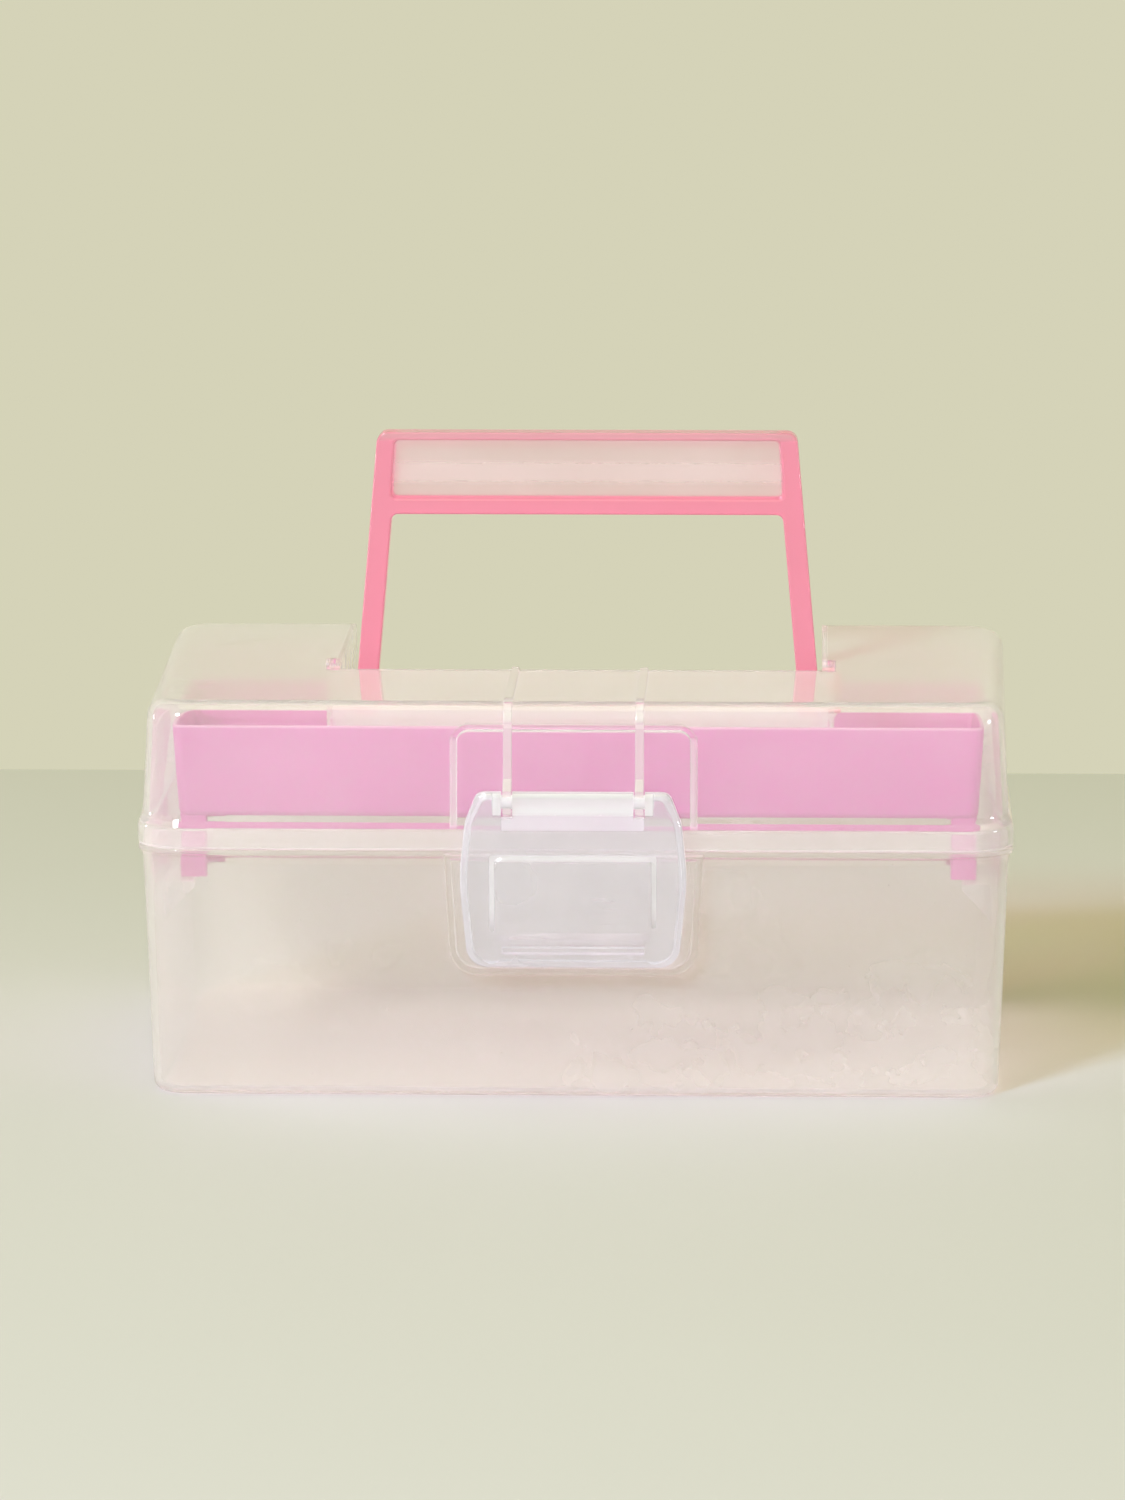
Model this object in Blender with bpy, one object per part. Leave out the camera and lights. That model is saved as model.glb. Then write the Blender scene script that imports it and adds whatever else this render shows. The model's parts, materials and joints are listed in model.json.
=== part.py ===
"""Two-layer art supply box: translucent base and lid, front latch, fold-down handle and inner tray.

Metres, +Z up. The origin is the centre of the underside. X is the width, the front faces -Y.
"""
import math

import bmesh
import bpy
from mathutils import Vector

MM = 0.001

# ---- driving dimensions (millimetres) -------------------------------------------------------
CORE_X, CORE_Y = 115.1, 65.1      # centres of the vertical corner rounds, shared by base and lid
CORNER_STEPS = 6                  # segments in each corner round
GAP = 0.3                         # running gap between neighbouring pieces
WALL = 1.5                        # wall of the mouldings
BEYOND = 130.0                    # well outside the part, for open-ended cuts

PART_LINE_Z = 75.1                # top of the base's rim flange
LID_TOP_Z = 118.0
RIM_RADIUS = 15.0                 # corner radius of the rim flange: half width 130.1
COVE_Z = 66.5                     # where the base wall starts to flare out to the flange
BASE_FOOT_RADIUS = 11.2           # corner radius of the base wall just above the floor round
BASE_TOP_RADIUS = 13.5            # and just below the rim flange
FLOOR_ROUND = 3.0                 # round between floor and wall
LID_WALL_FOOT_Z, LID_WALL_TOP_RADIUS = 85.4, 12.0
LID_ROUND = 6.0                   # round between lid wall and lid top
SKIRT_TOP_Z = 81.2                # upright part of the lid's rim
LID_REAR_WIDER = 2.6              # the side walls stand straighter towards the hinge

HINGE_Y, HINGE_Z = 84.2, PART_LINE_Z + GAP / 2
HINGE_CENTRES_X = (-80.0, 80.0)
KNUCKLE_R, KNUCKLE_BORE_R, PIN_R = 3.3, 1.6, 1.25
KNUCKLE_LID_LENGTH, KNUCKLE_BASE_LENGTH = 12.0, 10.0
KNUCKLE_GAP = 0.4

TROUGH_HALF_X = 73.3              # handle trough in the lid, open at the back
TROUGH_FRONT_Y = -15.0
TROUGH_FLOOR_Z = 100.0
TROUGH_WALL = 1.6
PIVOT_WALL_X, PIVOT_WALL_BACK_Y = 77.0, 1.0    # thicker side wall round the handle pins

PIVOT_Y, PIVOT_Z, PIVOT_R, PIVOT_PLAY = -6.4, 112.0, 3.6, 0.35
PIN_BOSS_R, PIN_BOSS_SUNK = 2.7, 0.9    # low round boss on the lid above each handle pin
PIVOT_END_X = 77.0                # pin end of a centred handle
HANDLE_SHIFT_X = 2.0              # the handle rests to the right within its side play

HANDLE_TOP_Z, HANDLE_HEEL_Z = 190.5, 105.0
HANDLE_DEPTH = 8.0
HANDLE_TOP_HALF, HANDLE_HEEL_HALF = 63.4, 70.9
HANDLE_LEG = 6.4
GRIP_BAR_TOP_Z, GRIP_BAR_BOTTOM_Z = 170.2, 165.5
GRIP_RIM_TOP, GRIP_WEB = 2.4, 1.6

LATCH_AXIS_Y, LATCH_AXIS_Z = -83.6, 90.7
LATCH_TOP_Z, LATCH_BOTTOM_Z = 93.7, 41.3
LATCH_BACK_Y, LATCH_FRONT_Y = -82.6, -86.8
LATCH_BAR_R, LATCH_BAR_HALF, LATCH_PIN_R = 3.0, 24.0, 2.0
LATCH_CORNERS = [(28.4, LATCH_TOP_Z, 3.0), (32.0, 84.5, 12.0), (33.7, 68.0, 60.0),
                 (31.1, LATCH_BOTTOM_Z, 6.5)]    # half width, height, corner radius
HOOK_R, HOOK_BORE_R, HOOK_MOUTH = 3.8, 2.35, 1.7
FIN_X, FIN_WIDTH, FIN_SLOT = 19.5, 2.6, 3.4
FIN_PROUD_FRONT, FIN_PROUD_TOP, FIN_ROOT = 2.6, 1.0, 1.2
FIN_BEND_R, FIN_FOOT_Z, HOOK_TOP_Z = 8.0, 87.4, 97.0

BASE_PAD_Y = -82.0                # front of the raised pad on the base
BASE_PAD_TOP_HALF, BASE_PAD_FOOT_HALF, BASE_PAD_FOOT_Z = 38.4, 36.5, 38.0
BASE_PAD_ROUND = 8.5
LID_PAD_HALF, LID_PAD_FOOT_Z, LID_PAD_TOP_Z, LID_PAD_ROUND = 36.4, 82.8, 112.8, 5.5
LID_PAD_PROUD = 1.1
WINDOW_HALF, WINDOW_FOOT_Z, WINDOW_TOP_Z, WINDOW_PROUD = 24.6, 49.4, 75.0, 0.7
CATCH_TOP_Z, CATCH_BOTTOM_Z, CATCH_Y, CATCH_HALF = 50.4, 47.7, -84.4, 21.0

TRAY_TOP_HALF_X, TRAY_TOP_HALF_Y = 123.0, 38.4
TRAY_FLOOR_HALF_X, TRAY_FLOOR_HALF_Y = 120.8, 37.0
TRAY_TOP_Z, TRAY_BOTTOM_Z = 105.2, 76.8
TRAY_CORNER, TRAY_ROUND, TRAY_WALL = 4.0, 2.5, 1.5
TRAY_FOOT_Z, TRAY_FOOT_WIDTH = 58.8, 8.4
TRAY_NOTCH_HALF, TRAY_NOTCH_Z, TRAY_NOTCH_ROUND = 77.0, 95.5, 4.0
LEDGE_Z, LEDGE_INNER_X, LEDGE_DROP = TRAY_FOOT_Z - GAP, 115.5, 13.0
LEDGE_HALF_Y = 42.0


# ---- mesh helpers ----------------------------------------------------------------------------
def make_object(name, bm):
    """Wrap a bmesh, drawn in millimetres, as a metre-sized object with outward normals."""
    bmesh.ops.scale(bm, vec=(MM, MM, MM), verts=bm.verts)
    bmesh.ops.recalc_face_normals(bm, faces=bm.faces)
    mesh = bpy.data.meshes.new(name)
    bm.to_mesh(mesh)
    bm.free()
    mesh.shade_smooth()
    mesh.set_sharp_from_angle(angle=math.radians(35))
    obj = bpy.data.objects.new(name, mesh)
    bpy.context.scene.collection.objects.link(obj)
    return obj


def loft(name, rings):
    """Closed solid through rings of equal point counts; the first and last ring are capped."""
    bm = bmesh.new()
    rows = [[bm.verts.new(point) for point in ring] for ring in rings]
    for low, high in zip(rows, rows[1:]):
        count = len(low)
        for i in range(count):
            j = (i + 1) % count
            bm.faces.new((low[i], low[j], high[j], high[i]))
    bm.faces.new(rows[0][::-1])
    bm.faces.new(rows[-1])
    return make_object(name, bm)


def prism(name, outline, place, low, high):
    """Extrude a flat outline; place(u, v, w) turns outline and depth into a point."""
    return loft(name, [[place(u, v, w) for u, v in outline] for w in (low, high)])


def along_x(u, v, w):
    return (w, u, v)


def along_y(u, v, w):
    return (u, w, v)


def along_z(u, v, w):
    return (u, v, w)


def arc(centre_u, centre_v, radius, start, end, steps):
    """Points of a circular arc between two angles in degrees, both ends included."""
    points = []
    for i in range(steps + 1):
        angle = math.radians(start + (end - start) * i / steps)
        points.append((centre_u + radius * math.cos(angle), centre_v + radius * math.sin(angle)))
    return points


def rounded_polygon(corners, steps=4):
    """Outline through corners (u, v, radius), with each corner turned into an arc."""
    outline = []
    count = len(corners)
    for i, (u, v, radius) in enumerate(corners):
        here = Vector((u, v))
        back = (Vector(corners[i - 1][:2]) - here).normalized()
        ahead = (Vector(corners[(i + 1) % count][:2]) - here).normalized()
        if radius <= 0:
            outline.append((u, v))
            continue
        half = back.angle(ahead) / 2
        reach = radius / math.tan(half)
        centre = here + (back + ahead).normalized() * (radius / math.sin(half))
        first = here + back * reach - centre
        last = here + ahead * reach - centre
        turn = first.angle_signed(last)
        for k in range(steps + 1):
            a = -turn * k / steps
            outline.append((centre.x + first.x * math.cos(a) - first.y * math.sin(a),
                            centre.y + first.x * math.sin(a) + first.y * math.cos(a)))
    return outline


def box_outline(low_u, low_v, high_u, high_v, radius=0.0):
    return rounded_polygon([(low_u, low_v, radius), (high_u, low_v, radius),
                            (high_u, high_v, radius), (low_u, high_v, radius)])


def block(name, low, high):
    return prism(name, box_outline(low[0], low[1], high[0], high[1]), along_z, low[2], high[2])


def rod(name, y, z, radius, low_x, high_x, sides=20):
    """Cylinder along X."""
    circle = arc(y, z, radius, 0, 360 * (sides - 1) / sides, sides - 1)
    return prism(name, circle, along_x, low_x, high_x)


def combine(target, tool, operation):
    """Boolean with an exact solver; the tool stays in the file as a hidden wire guide."""
    modifier = target.modifiers.new(tool.name, "BOOLEAN")
    modifier.operation = operation
    modifier.solver = "EXACT"
    modifier.object = tool
    tool.hide_render = True
    tool.display_type = "WIRE"
    tool.parent = target


def add(target, *tools):
    for tool in tools:
        combine(target, tool, "UNION")


def cut(target, *tools):
    for tool in tools:
        combine(target, tool, "DIFFERENCE")


def material(name, colour, roughness, alpha=1.0):
    mat = bpy.data.materials.new(name)
    mat.use_nodes = True
    shader = mat.node_tree.nodes["Principled BSDF"]
    shader.inputs["Base Color"].default_value = (*colour, 1.0)
    shader.inputs["Roughness"].default_value = roughness
    shader.inputs["Metallic"].default_value = 0.0
    shader.inputs["Alpha"].default_value = alpha
    return mat


def box_ring(radius, z):
    """Horizontal ring of the box: every ring shares its corner centres."""
    ring = []
    for sign_x, sign_y, start in ((1, 1, 0), (-1, 1, 90), (-1, -1, 180), (1, -1, 270)):
        for u, v in arc(sign_x * CORE_X, sign_y * CORE_Y, radius, start, start + 90, CORNER_STEPS):
            ring.append((u, v, z))
    return ring


def round_profile(radius, z, size, steps, inward_first):
    """(corner radius, z) pairs of a quarter round between a flat and a wall of that radius."""
    pairs = []
    for i in range(steps + 1):
        angle = math.radians(90 * i / steps)
        if inward_first:
            pairs.append((radius - size + size * math.sin(angle), z - size * math.cos(angle)))
        else:
            pairs.append((radius - size + size * math.cos(angle), z + size * math.sin(angle)))
    return pairs


# ---- base ------------------------------------------------------------------------------------
def base_wall_radius(z):
    share = (z - FLOOR_ROUND) / (COVE_Z - FLOOR_ROUND)
    return BASE_FOOT_RADIUS + (BASE_TOP_RADIUS - BASE_FOOT_RADIUS) * share


def build_base():
    outer = round_profile(BASE_FOOT_RADIUS, FLOOR_ROUND, FLOOR_ROUND, 3, True)
    rim = [(BASE_TOP_RADIUS, COVE_Z), (13.75, 69.5), (14.3, 71.8), (RIM_RADIUS, 73.4),
           (RIM_RADIUS, PART_LINE_Z)]
    upstand = [(13.2, PART_LINE_Z), (13.2, 80.2), (12.7, 80.8), (BASE_TOP_RADIUS - WALL, 80.8)]
    inner = round_profile(BASE_FOOT_RADIUS - WALL, FLOOR_ROUND + WALL / 2, 2.25, 3, True)
    profile = outer + rim + upstand + inner[::-1]
    base = loft("base_box", [box_ring(radius, z) for radius, z in profile])

    def pad_outline(inset):
        top, foot = PART_LINE_Z - 2 * GAP - inset, BASE_PAD_FOOT_Z + inset
        top_half, foot_half = BASE_PAD_TOP_HALF - inset, BASE_PAD_FOOT_HALF - inset
        corner = BASE_PAD_ROUND - inset
        return rounded_polygon([(-top_half, top, 0), (-foot_half, foot, corner),
                                (foot_half, foot, corner), (top_half, top, 0)])

    add(base, prism("base_pad", pad_outline(0), along_y, BASE_PAD_Y, -77.3))
    cut(base, prism("base_pad_hollow", pad_outline(WALL + 0.4), along_y, BASE_PAD_Y + 1.6, -70.0))
    catch = [(CATCH_Y, CATCH_BOTTOM_Z), (BASE_PAD_Y + 1, CATCH_BOTTOM_Z),
             (BASE_PAD_Y + 1, CATCH_TOP_Z + 1.4), (CATCH_Y + 0.5, CATCH_TOP_Z - 1.0)]
    add(base, prism("latch_catch", catch, along_x, -CATCH_HALF, CATCH_HALF))

    for side in (-1, 1):
        wall_x = CORE_X + base_wall_radius(50.0) - 0.6
        ledge = [(side * LEDGE_INNER_X, LEDGE_Z), (side * wall_x, LEDGE_Z),
                 (side * wall_x, LEDGE_Z - LEDGE_DROP), (side * LEDGE_INNER_X, LEDGE_Z - 1.8)]
        add(base, prism(f"tray_ledge_{side}", ledge, along_y, -LEDGE_HALF_Y, LEDGE_HALF_Y))

    for number, centre in enumerate(HINGE_CENTRES_X):
        for side in (-1, 1):
            near = centre + side * (KNUCKLE_LID_LENGTH / 2 + KNUCKLE_GAP)
            far = near + side * KNUCKLE_BASE_LENGTH
            low, high = min(near, far), max(near, far)
            name = f"base_knuckle_{number}_{side}"
            add(base, prism(name, knuckle_outline(-1), along_x, low, high))
        cut(base, rod(f"base_bore_{number}", HINGE_Y, HINGE_Z, KNUCKLE_BORE_R, centre - 20, centre + 20))
    return base


def knuckle_outline(side):
    """Barrel and its arm to the rim, seen along the hinge; side -1 hangs below, +1 stands above."""
    reach, step, root_y, neck_y = 4.6, 0.6, 79.2, 81.0
    if side < 0:
        barrel = arc(HINGE_Y, HINGE_Z, KNUCKLE_R, -60, 180, 14)
        return barrel + [(neck_y, HINGE_Z - GAP), (root_y, HINGE_Z - step), (root_y, HINGE_Z - reach)]
    barrel = arc(HINGE_Y, HINGE_Z, KNUCKLE_R, 60, -180, 14)
    return barrel + [(neck_y, HINGE_Z + GAP), (root_y, HINGE_Z + step), (root_y, HINGE_Z + reach)]


# ---- lid -------------------------------------------------------------------------------------
def lid_wall_radius(z):
    share = (z - LID_WALL_FOOT_Z) / (LID_TOP_Z - LID_ROUND - LID_WALL_FOOT_Z)
    return BASE_TOP_RADIUS + (LID_WALL_TOP_RADIUS - BASE_TOP_RADIUS) * share


def lid_face_y(z):
    """Front face of the lid's wall at a height."""
    return -(CORE_Y + lid_wall_radius(z))


def lid_ring(radius, z):
    """Plan of the lid at a height, up to LID_REAR_WIDER wider at the back than at the front."""
    rise = (z - LID_WALL_FOOT_Z) / (LID_TOP_Z - LID_ROUND - LID_WALL_FOOT_Z)
    widen = LID_REAR_WIDER * min(max(rise, 0.0), 1.0) / CORE_X
    return [(u * (1 + widen * max(0.0, v + CORE_Y) / (2 * CORE_Y)), v, w)
            for u, v, w in box_ring(radius, z)]


def fin_outline():
    """Side view of a fin: hook round the latch bar, up the front and back along the top."""
    top, root_z, wall_top = LID_TOP_Z + FIN_PROUD_TOP, LID_TOP_Z - FIN_ROOT, LID_TOP_Z - LID_ROUND
    front_top_y = lid_face_y(wall_top) - FIN_PROUD_FRONT * 0.55
    bend = arc(front_top_y + FIN_BEND_R, top - FIN_BEND_R, FIN_BEND_R, 180, 90, 6)
    outside = [(lid_face_y(HOOK_TOP_Z) - FIN_PROUD_FRONT, HOOK_TOP_Z)] + bend
    inside = [(TROUGH_FRONT_Y - 1.0, top), (TROUGH_FRONT_Y - 1.0, root_z)]
    inside += [(lid_face_y(wall_top) + LID_ROUND, root_z), (lid_face_y(wall_top) + FIN_ROOT, wall_top)]
    inside += [(lid_face_y(FIN_FOOT_Z) + FIN_ROOT, FIN_FOOT_Z)]
    hook = arc(LATCH_AXIS_Y, LATCH_AXIS_Z, HOOK_R, -70, -240, 10)
    return outside + inside + hook


def build_lid():
    part_z = PART_LINE_Z + GAP
    skirt_radius = RIM_RADIUS + 0.1
    skirt = [(skirt_radius, part_z), (skirt_radius, SKIRT_TOP_Z), (skirt_radius - 0.4, SKIRT_TOP_Z + 1.1),
             (BASE_TOP_RADIUS + 0.4, SKIRT_TOP_Z + 2.6), (BASE_TOP_RADIUS, LID_WALL_FOOT_Z)]
    crown = round_profile(LID_WALL_TOP_RADIUS, LID_TOP_Z - LID_ROUND, LID_ROUND, 5, False)
    lid = loft("lid_shell", [lid_ring(radius, z) for radius, z in skirt + crown])

    inner_skirt = [(skirt_radius - WALL, part_z - 3.0), (skirt_radius - WALL, SKIRT_TOP_Z + 0.4),
                   (BASE_TOP_RADIUS - WALL, SKIRT_TOP_Z + 1.8)]
    inner_round = LID_ROUND - WALL
    inner_crown = round_profile(LID_WALL_TOP_RADIUS - WALL, LID_TOP_Z - WALL - inner_round,
                                inner_round, 4, False)
    cavity = loft("lid_cavity", [lid_ring(radius, z) for radius, z in inner_skirt + inner_crown])
    wall = TROUGH_WALL
    below = TROUGH_FLOOR_Z - wall
    cut(cavity, block("trough_body", (-TROUGH_HALF_X - wall, TROUGH_FRONT_Y - wall, below),
                      (TROUGH_HALF_X + wall, BEYOND, BEYOND)))
    cut(cavity, block("pivot_walls", (-PIVOT_WALL_X, TROUGH_FRONT_Y - wall, below),
                      (PIVOT_WALL_X, PIVOT_WALL_BACK_Y, BEYOND)))
    cut(lid, cavity)
    cut(lid, block("trough", (-TROUGH_HALF_X, TROUGH_FRONT_Y, TROUGH_FLOOR_Z),
                   (TROUGH_HALF_X, BEYOND, BEYOND)))

    half, foot, top, corner = LID_PAD_HALF, LID_PAD_FOOT_Z, LID_PAD_TOP_Z, LID_PAD_ROUND
    pad = rounded_polygon([(-half, foot, 0), (-half, top, corner), (half, top, corner), (half, foot, 0)])
    depths = (-LID_PAD_PROUD, 0.9)
    add(lid, loft("lid_pad", [[(u, lid_face_y(v) + w, v) for u, v in pad] for w in depths]))

    for side in (-1, 1):
        low = side * FIN_X - FIN_WIDTH / 2
        fin = prism(f"fin_{side}", fin_outline(), along_x, low, low + FIN_WIDTH)
        add(lid, fin)
        boss = arc(PIVOT_Y, LID_TOP_Z - PIN_BOSS_SUNK, PIN_BOSS_R, 0, 180, 8)
        ends = sorted((side * (TROUGH_HALF_X + 0.1), side * (PIVOT_WALL_X + 0.5)))
        add(lid, prism(f"pin_boss_{side}", boss, along_x, *ends))
        ends = sorted((side * (TROUGH_HALF_X - 5), side * (PIVOT_WALL_X + 5)))
        cut(lid, rod(f"pin_hole_{side}", PIVOT_Y, PIVOT_Z, PIVOT_R + PIVOT_PLAY, *ends, sides=24))
    cut(lid, rod("hook_bore", LATCH_AXIS_Y, LATCH_AXIS_Z, HOOK_BORE_R, -30, 30, sides=24))
    cut(lid, block("hook_mouth", (-30, LATCH_AXIS_Y - 8, LATCH_AXIS_Z - 9),
                   (30, LATCH_AXIS_Y - HOOK_MOUTH, LATCH_AXIS_Z + 5.3)))

    for number, centre in enumerate(HINGE_CENTRES_X):
        half = KNUCKLE_LID_LENGTH / 2
        add(lid, prism(f"lid_knuckle_{number}", knuckle_outline(1), along_x, centre - half, centre + half))
        cut(lid, rod(f"lid_bore_{number}", HINGE_Y, HINGE_Z, KNUCKLE_BORE_R, centre - 20, centre + 20))
    return lid


# ---- hinge pins ------------------------------------------------------------------------------
def build_hinge_pin(name, centre):
    half = KNUCKLE_LID_LENGTH / 2 + KNUCKLE_GAP + KNUCKLE_BASE_LENGTH
    return rod(name, HINGE_Y, HINGE_Z, PIN_R, centre - half + 0.4, centre + half - 0.4, sides=12)


# ---- latch -----------------------------------------------------------------------------------
def latch_ring(inset, y):
    """Barrel-sided outline of the latch flap, drawn from the top right, clockwise."""
    shoulder, waist, belly, foot = LATCH_CORNERS
    corners = [(shoulder[0] - inset, LATCH_TOP_Z - inset, shoulder[2] - 0.5 * inset),
               (waist[0] - inset, *waist[1:]), (belly[0] - inset, *belly[1:]),
               (foot[0] - inset, LATCH_BOTTOM_Z + inset, foot[2] - inset)]
    mirrored = [(-u, v, radius) for u, v, radius in reversed(corners)]
    return [(u, y, v) for u, v in rounded_polygon(corners + mirrored, 4)]


def build_latch():
    rings = [latch_ring(1.9, LATCH_FRONT_Y + WALL), latch_ring(1.5, LATCH_BACK_Y),
             latch_ring(0.0, LATCH_BACK_Y), latch_ring(0.0, LATCH_FRONT_Y + 1.3),
             latch_ring(0.4, LATCH_FRONT_Y + 0.4), latch_ring(1.4, LATCH_FRONT_Y)]
    latch = loft("front_latch", rings)
    add(latch, rod("latch_bar", LATCH_AXIS_Y, LATCH_AXIS_Z, LATCH_BAR_R, -LATCH_BAR_HALF, LATCH_BAR_HALF))
    for side in (-1, 1):
        low = side * FIN_X - FIN_SLOT / 2
        cut(latch, block(f"fin_slot_{side}", (low, LATCH_FRONT_Y - 5, LATCH_AXIS_Z - HOOK_R - 0.7),
                         (low + FIN_SLOT, LATCH_BACK_Y + 5, LATCH_TOP_Z + 3)))
    pivot_half = LATCH_BAR_HALF - 1.0
    add(latch, rod("latch_pivot_rod", LATCH_AXIS_Y, LATCH_AXIS_Z, LATCH_PIN_R, -pivot_half, pivot_half))
    window = box_outline(-WINDOW_HALF, WINDOW_FOOT_Z, WINDOW_HALF, WINDOW_TOP_Z, 2.0)
    front = LATCH_FRONT_Y - WINDOW_PROUD
    add(latch, prism("latch_window", window, along_y, front, LATCH_FRONT_Y + WALL / 2))
    lip = [(LATCH_BACK_Y + 0.2, CATCH_BOTTOM_Z - 2.2), (LATCH_FRONT_Y + 0.9, CATCH_BOTTOM_Z - 2.6),
           (LATCH_FRONT_Y + 0.9, CATCH_BOTTOM_Z - 0.6), (LATCH_BACK_Y + 0.2, CATCH_BOTTOM_Z - 0.6)]
    add(latch, prism("latch_lip", lip, along_x, -CATCH_HALF, CATCH_HALF))
    return latch


# ---- handle ----------------------------------------------------------------------------------
def handle_half_width(z):
    share = (z - HANDLE_HEEL_Z) / (HANDLE_TOP_Z - HANDLE_HEEL_Z)
    return HANDLE_HEEL_HALF + (HANDLE_TOP_HALF - HANDLE_HEEL_HALF) * share


def build_handle():
    def leg_inner(z, width=HANDLE_LEG):
        return handle_half_width(z) - width

    def aside(u, v, w):
        return (u + HANDLE_SHIFT_X, w, v)

    right = [(leg_inner(GRIP_BAR_BOTTOM_Z), GRIP_BAR_BOTTOM_Z, 2.2),
             (leg_inner(HANDLE_HEEL_Z), HANDLE_HEEL_Z, 0),
             (HANDLE_HEEL_HALF, HANDLE_HEEL_Z, 0), (HANDLE_TOP_HALF, HANDLE_TOP_Z, 3.4)]
    left = [(-u, v, radius) for u, v, radius in reversed(right)]
    front, back = PIVOT_Y - HANDLE_DEPTH / 2, PIVOT_Y + HANDLE_DEPTH / 2
    handle = prism("carry_handle", rounded_polygon(right + left), aside, front, back)
    round_heels(handle)

    pocket = rounded_polygon([(-leg_inner(GRIP_BAR_TOP_Z, 5.6), GRIP_BAR_TOP_Z, 1.4),
                              (leg_inner(GRIP_BAR_TOP_Z, 5.6), GRIP_BAR_TOP_Z, 1.4),
                              (leg_inner(HANDLE_TOP_Z, 5.2), HANDLE_TOP_Z - GRIP_RIM_TOP, 1.4),
                              (-leg_inner(HANDLE_TOP_Z, 5.2), HANDLE_TOP_Z - GRIP_RIM_TOP, 1.4)])
    cut(handle, prism("grip_pocket_front", pocket, aside, front - 2, PIVOT_Y - GRIP_WEB / 2))
    cut(handle, prism("grip_pocket_back", pocket, aside, PIVOT_Y + GRIP_WEB / 2, back + 2))
    for side in (-1, 1):
        ends = sorted((side * (handle_half_width(PIVOT_Z) - 2.0), side * PIVOT_END_X))
        low, high = ends[0] + HANDLE_SHIFT_X, ends[1] + HANDLE_SHIFT_X
        add(handle, rod(f"handle_pin_{side}", PIVOT_Y, PIVOT_Z, PIVOT_R, low, high, sides=24))
    return handle


def round_heels(handle):
    """Round the lower end of both legs, seen from the side, so that the handle can turn."""
    bm = bmesh.new()
    bm.from_mesh(handle.data)
    heel = HANDLE_HEEL_Z * MM
    edges = [edge for edge in bm.edges
             if all(abs(vert.co.z - heel) < 1e-5 for vert in edge.verts)
             and abs(edge.verts[0].co.y - edge.verts[1].co.y) < 1e-6]
    bmesh.ops.bevel(bm, geom=edges, offset=3.7 * MM, segments=4, affect="EDGES", profile=0.5)
    bm.to_mesh(handle.data)
    bm.free()


# ---- tray ------------------------------------------------------------------------------------
def tray_ring(inset, z):
    share = (z - TRAY_BOTTOM_Z) / (TRAY_TOP_Z - TRAY_BOTTOM_Z)
    half_x = TRAY_FLOOR_HALF_X + (TRAY_TOP_HALF_X - TRAY_FLOOR_HALF_X) * share - inset
    half_y = TRAY_FLOOR_HALF_Y + (TRAY_TOP_HALF_Y - TRAY_FLOOR_HALF_Y) * share - inset
    return [(u, v, z) for u, v in box_outline(-half_x, -half_y, half_x, half_y, TRAY_CORNER - inset)]


def build_tray():
    rings = []
    for i in range(4):
        angle = math.radians(30 * i)
        rings.append(tray_ring(TRAY_ROUND * (1 - math.sin(angle)),
                               TRAY_BOTTOM_Z + TRAY_ROUND * (1 - math.cos(angle))))
    rings += [tray_ring(0.0, TRAY_TOP_Z), tray_ring(TRAY_WALL, TRAY_TOP_Z),
              tray_ring(TRAY_WALL, TRAY_BOTTOM_Z + TRAY_WALL + 1.5),
              tray_ring(TRAY_WALL + 1.5, TRAY_BOTTOM_Z + TRAY_WALL)]
    tray = loft("inner_tray", rings)
    notch = rounded_polygon([(-TRAY_NOTCH_HALF, TRAY_NOTCH_Z, TRAY_NOTCH_ROUND),
                             (TRAY_NOTCH_HALF, TRAY_NOTCH_Z, TRAY_NOTCH_ROUND),
                             (TRAY_NOTCH_HALF + 2, TRAY_TOP_Z + 5, 0),
                             (-TRAY_NOTCH_HALF - 2, TRAY_TOP_Z + 5, 0)])
    cut(tray, prism("tray_notch", notch, along_y, 25.0, 50.0))
    for side in (-1, 1):
        outer_x, inner_x = TRAY_FLOOR_HALF_X - 0.3, TRAY_FLOOR_HALF_X - 0.3 - TRAY_FOOT_WIDTH
        half_y = TRAY_FLOOR_HALF_Y - 1.2
        low, high = sorted((side * inner_x, side * outer_x))
        foot = prism(f"tray_foot_{side}", box_outline(low, -half_y, high, half_y), along_z,
                     TRAY_FOOT_Z, TRAY_BOTTOM_Z + 1.0)
        low, high = sorted((side * (inner_x - 2), side * (outer_x - TRAY_WALL)))
        cut(foot, block(f"tray_foot_hollow_{side}", (low, TRAY_WALL - half_y, TRAY_FOOT_Z - 2),
                        (high, half_y - TRAY_WALL, TRAY_BOTTOM_Z - 1.0)))
        add(tray, foot)
    return tray


# ---- assembly --------------------------------------------------------------------------------
def finish(obj, mat, origin=None):
    obj.data.materials.append(mat)
    if origin is not None:
        shift = Vector(origin) * MM
        for vert in obj.data.vertices:
            vert.co -= shift
        obj.location = shift
        for tool in obj.children:
            tool.matrix_parent_inverse.translation = -shift


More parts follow.
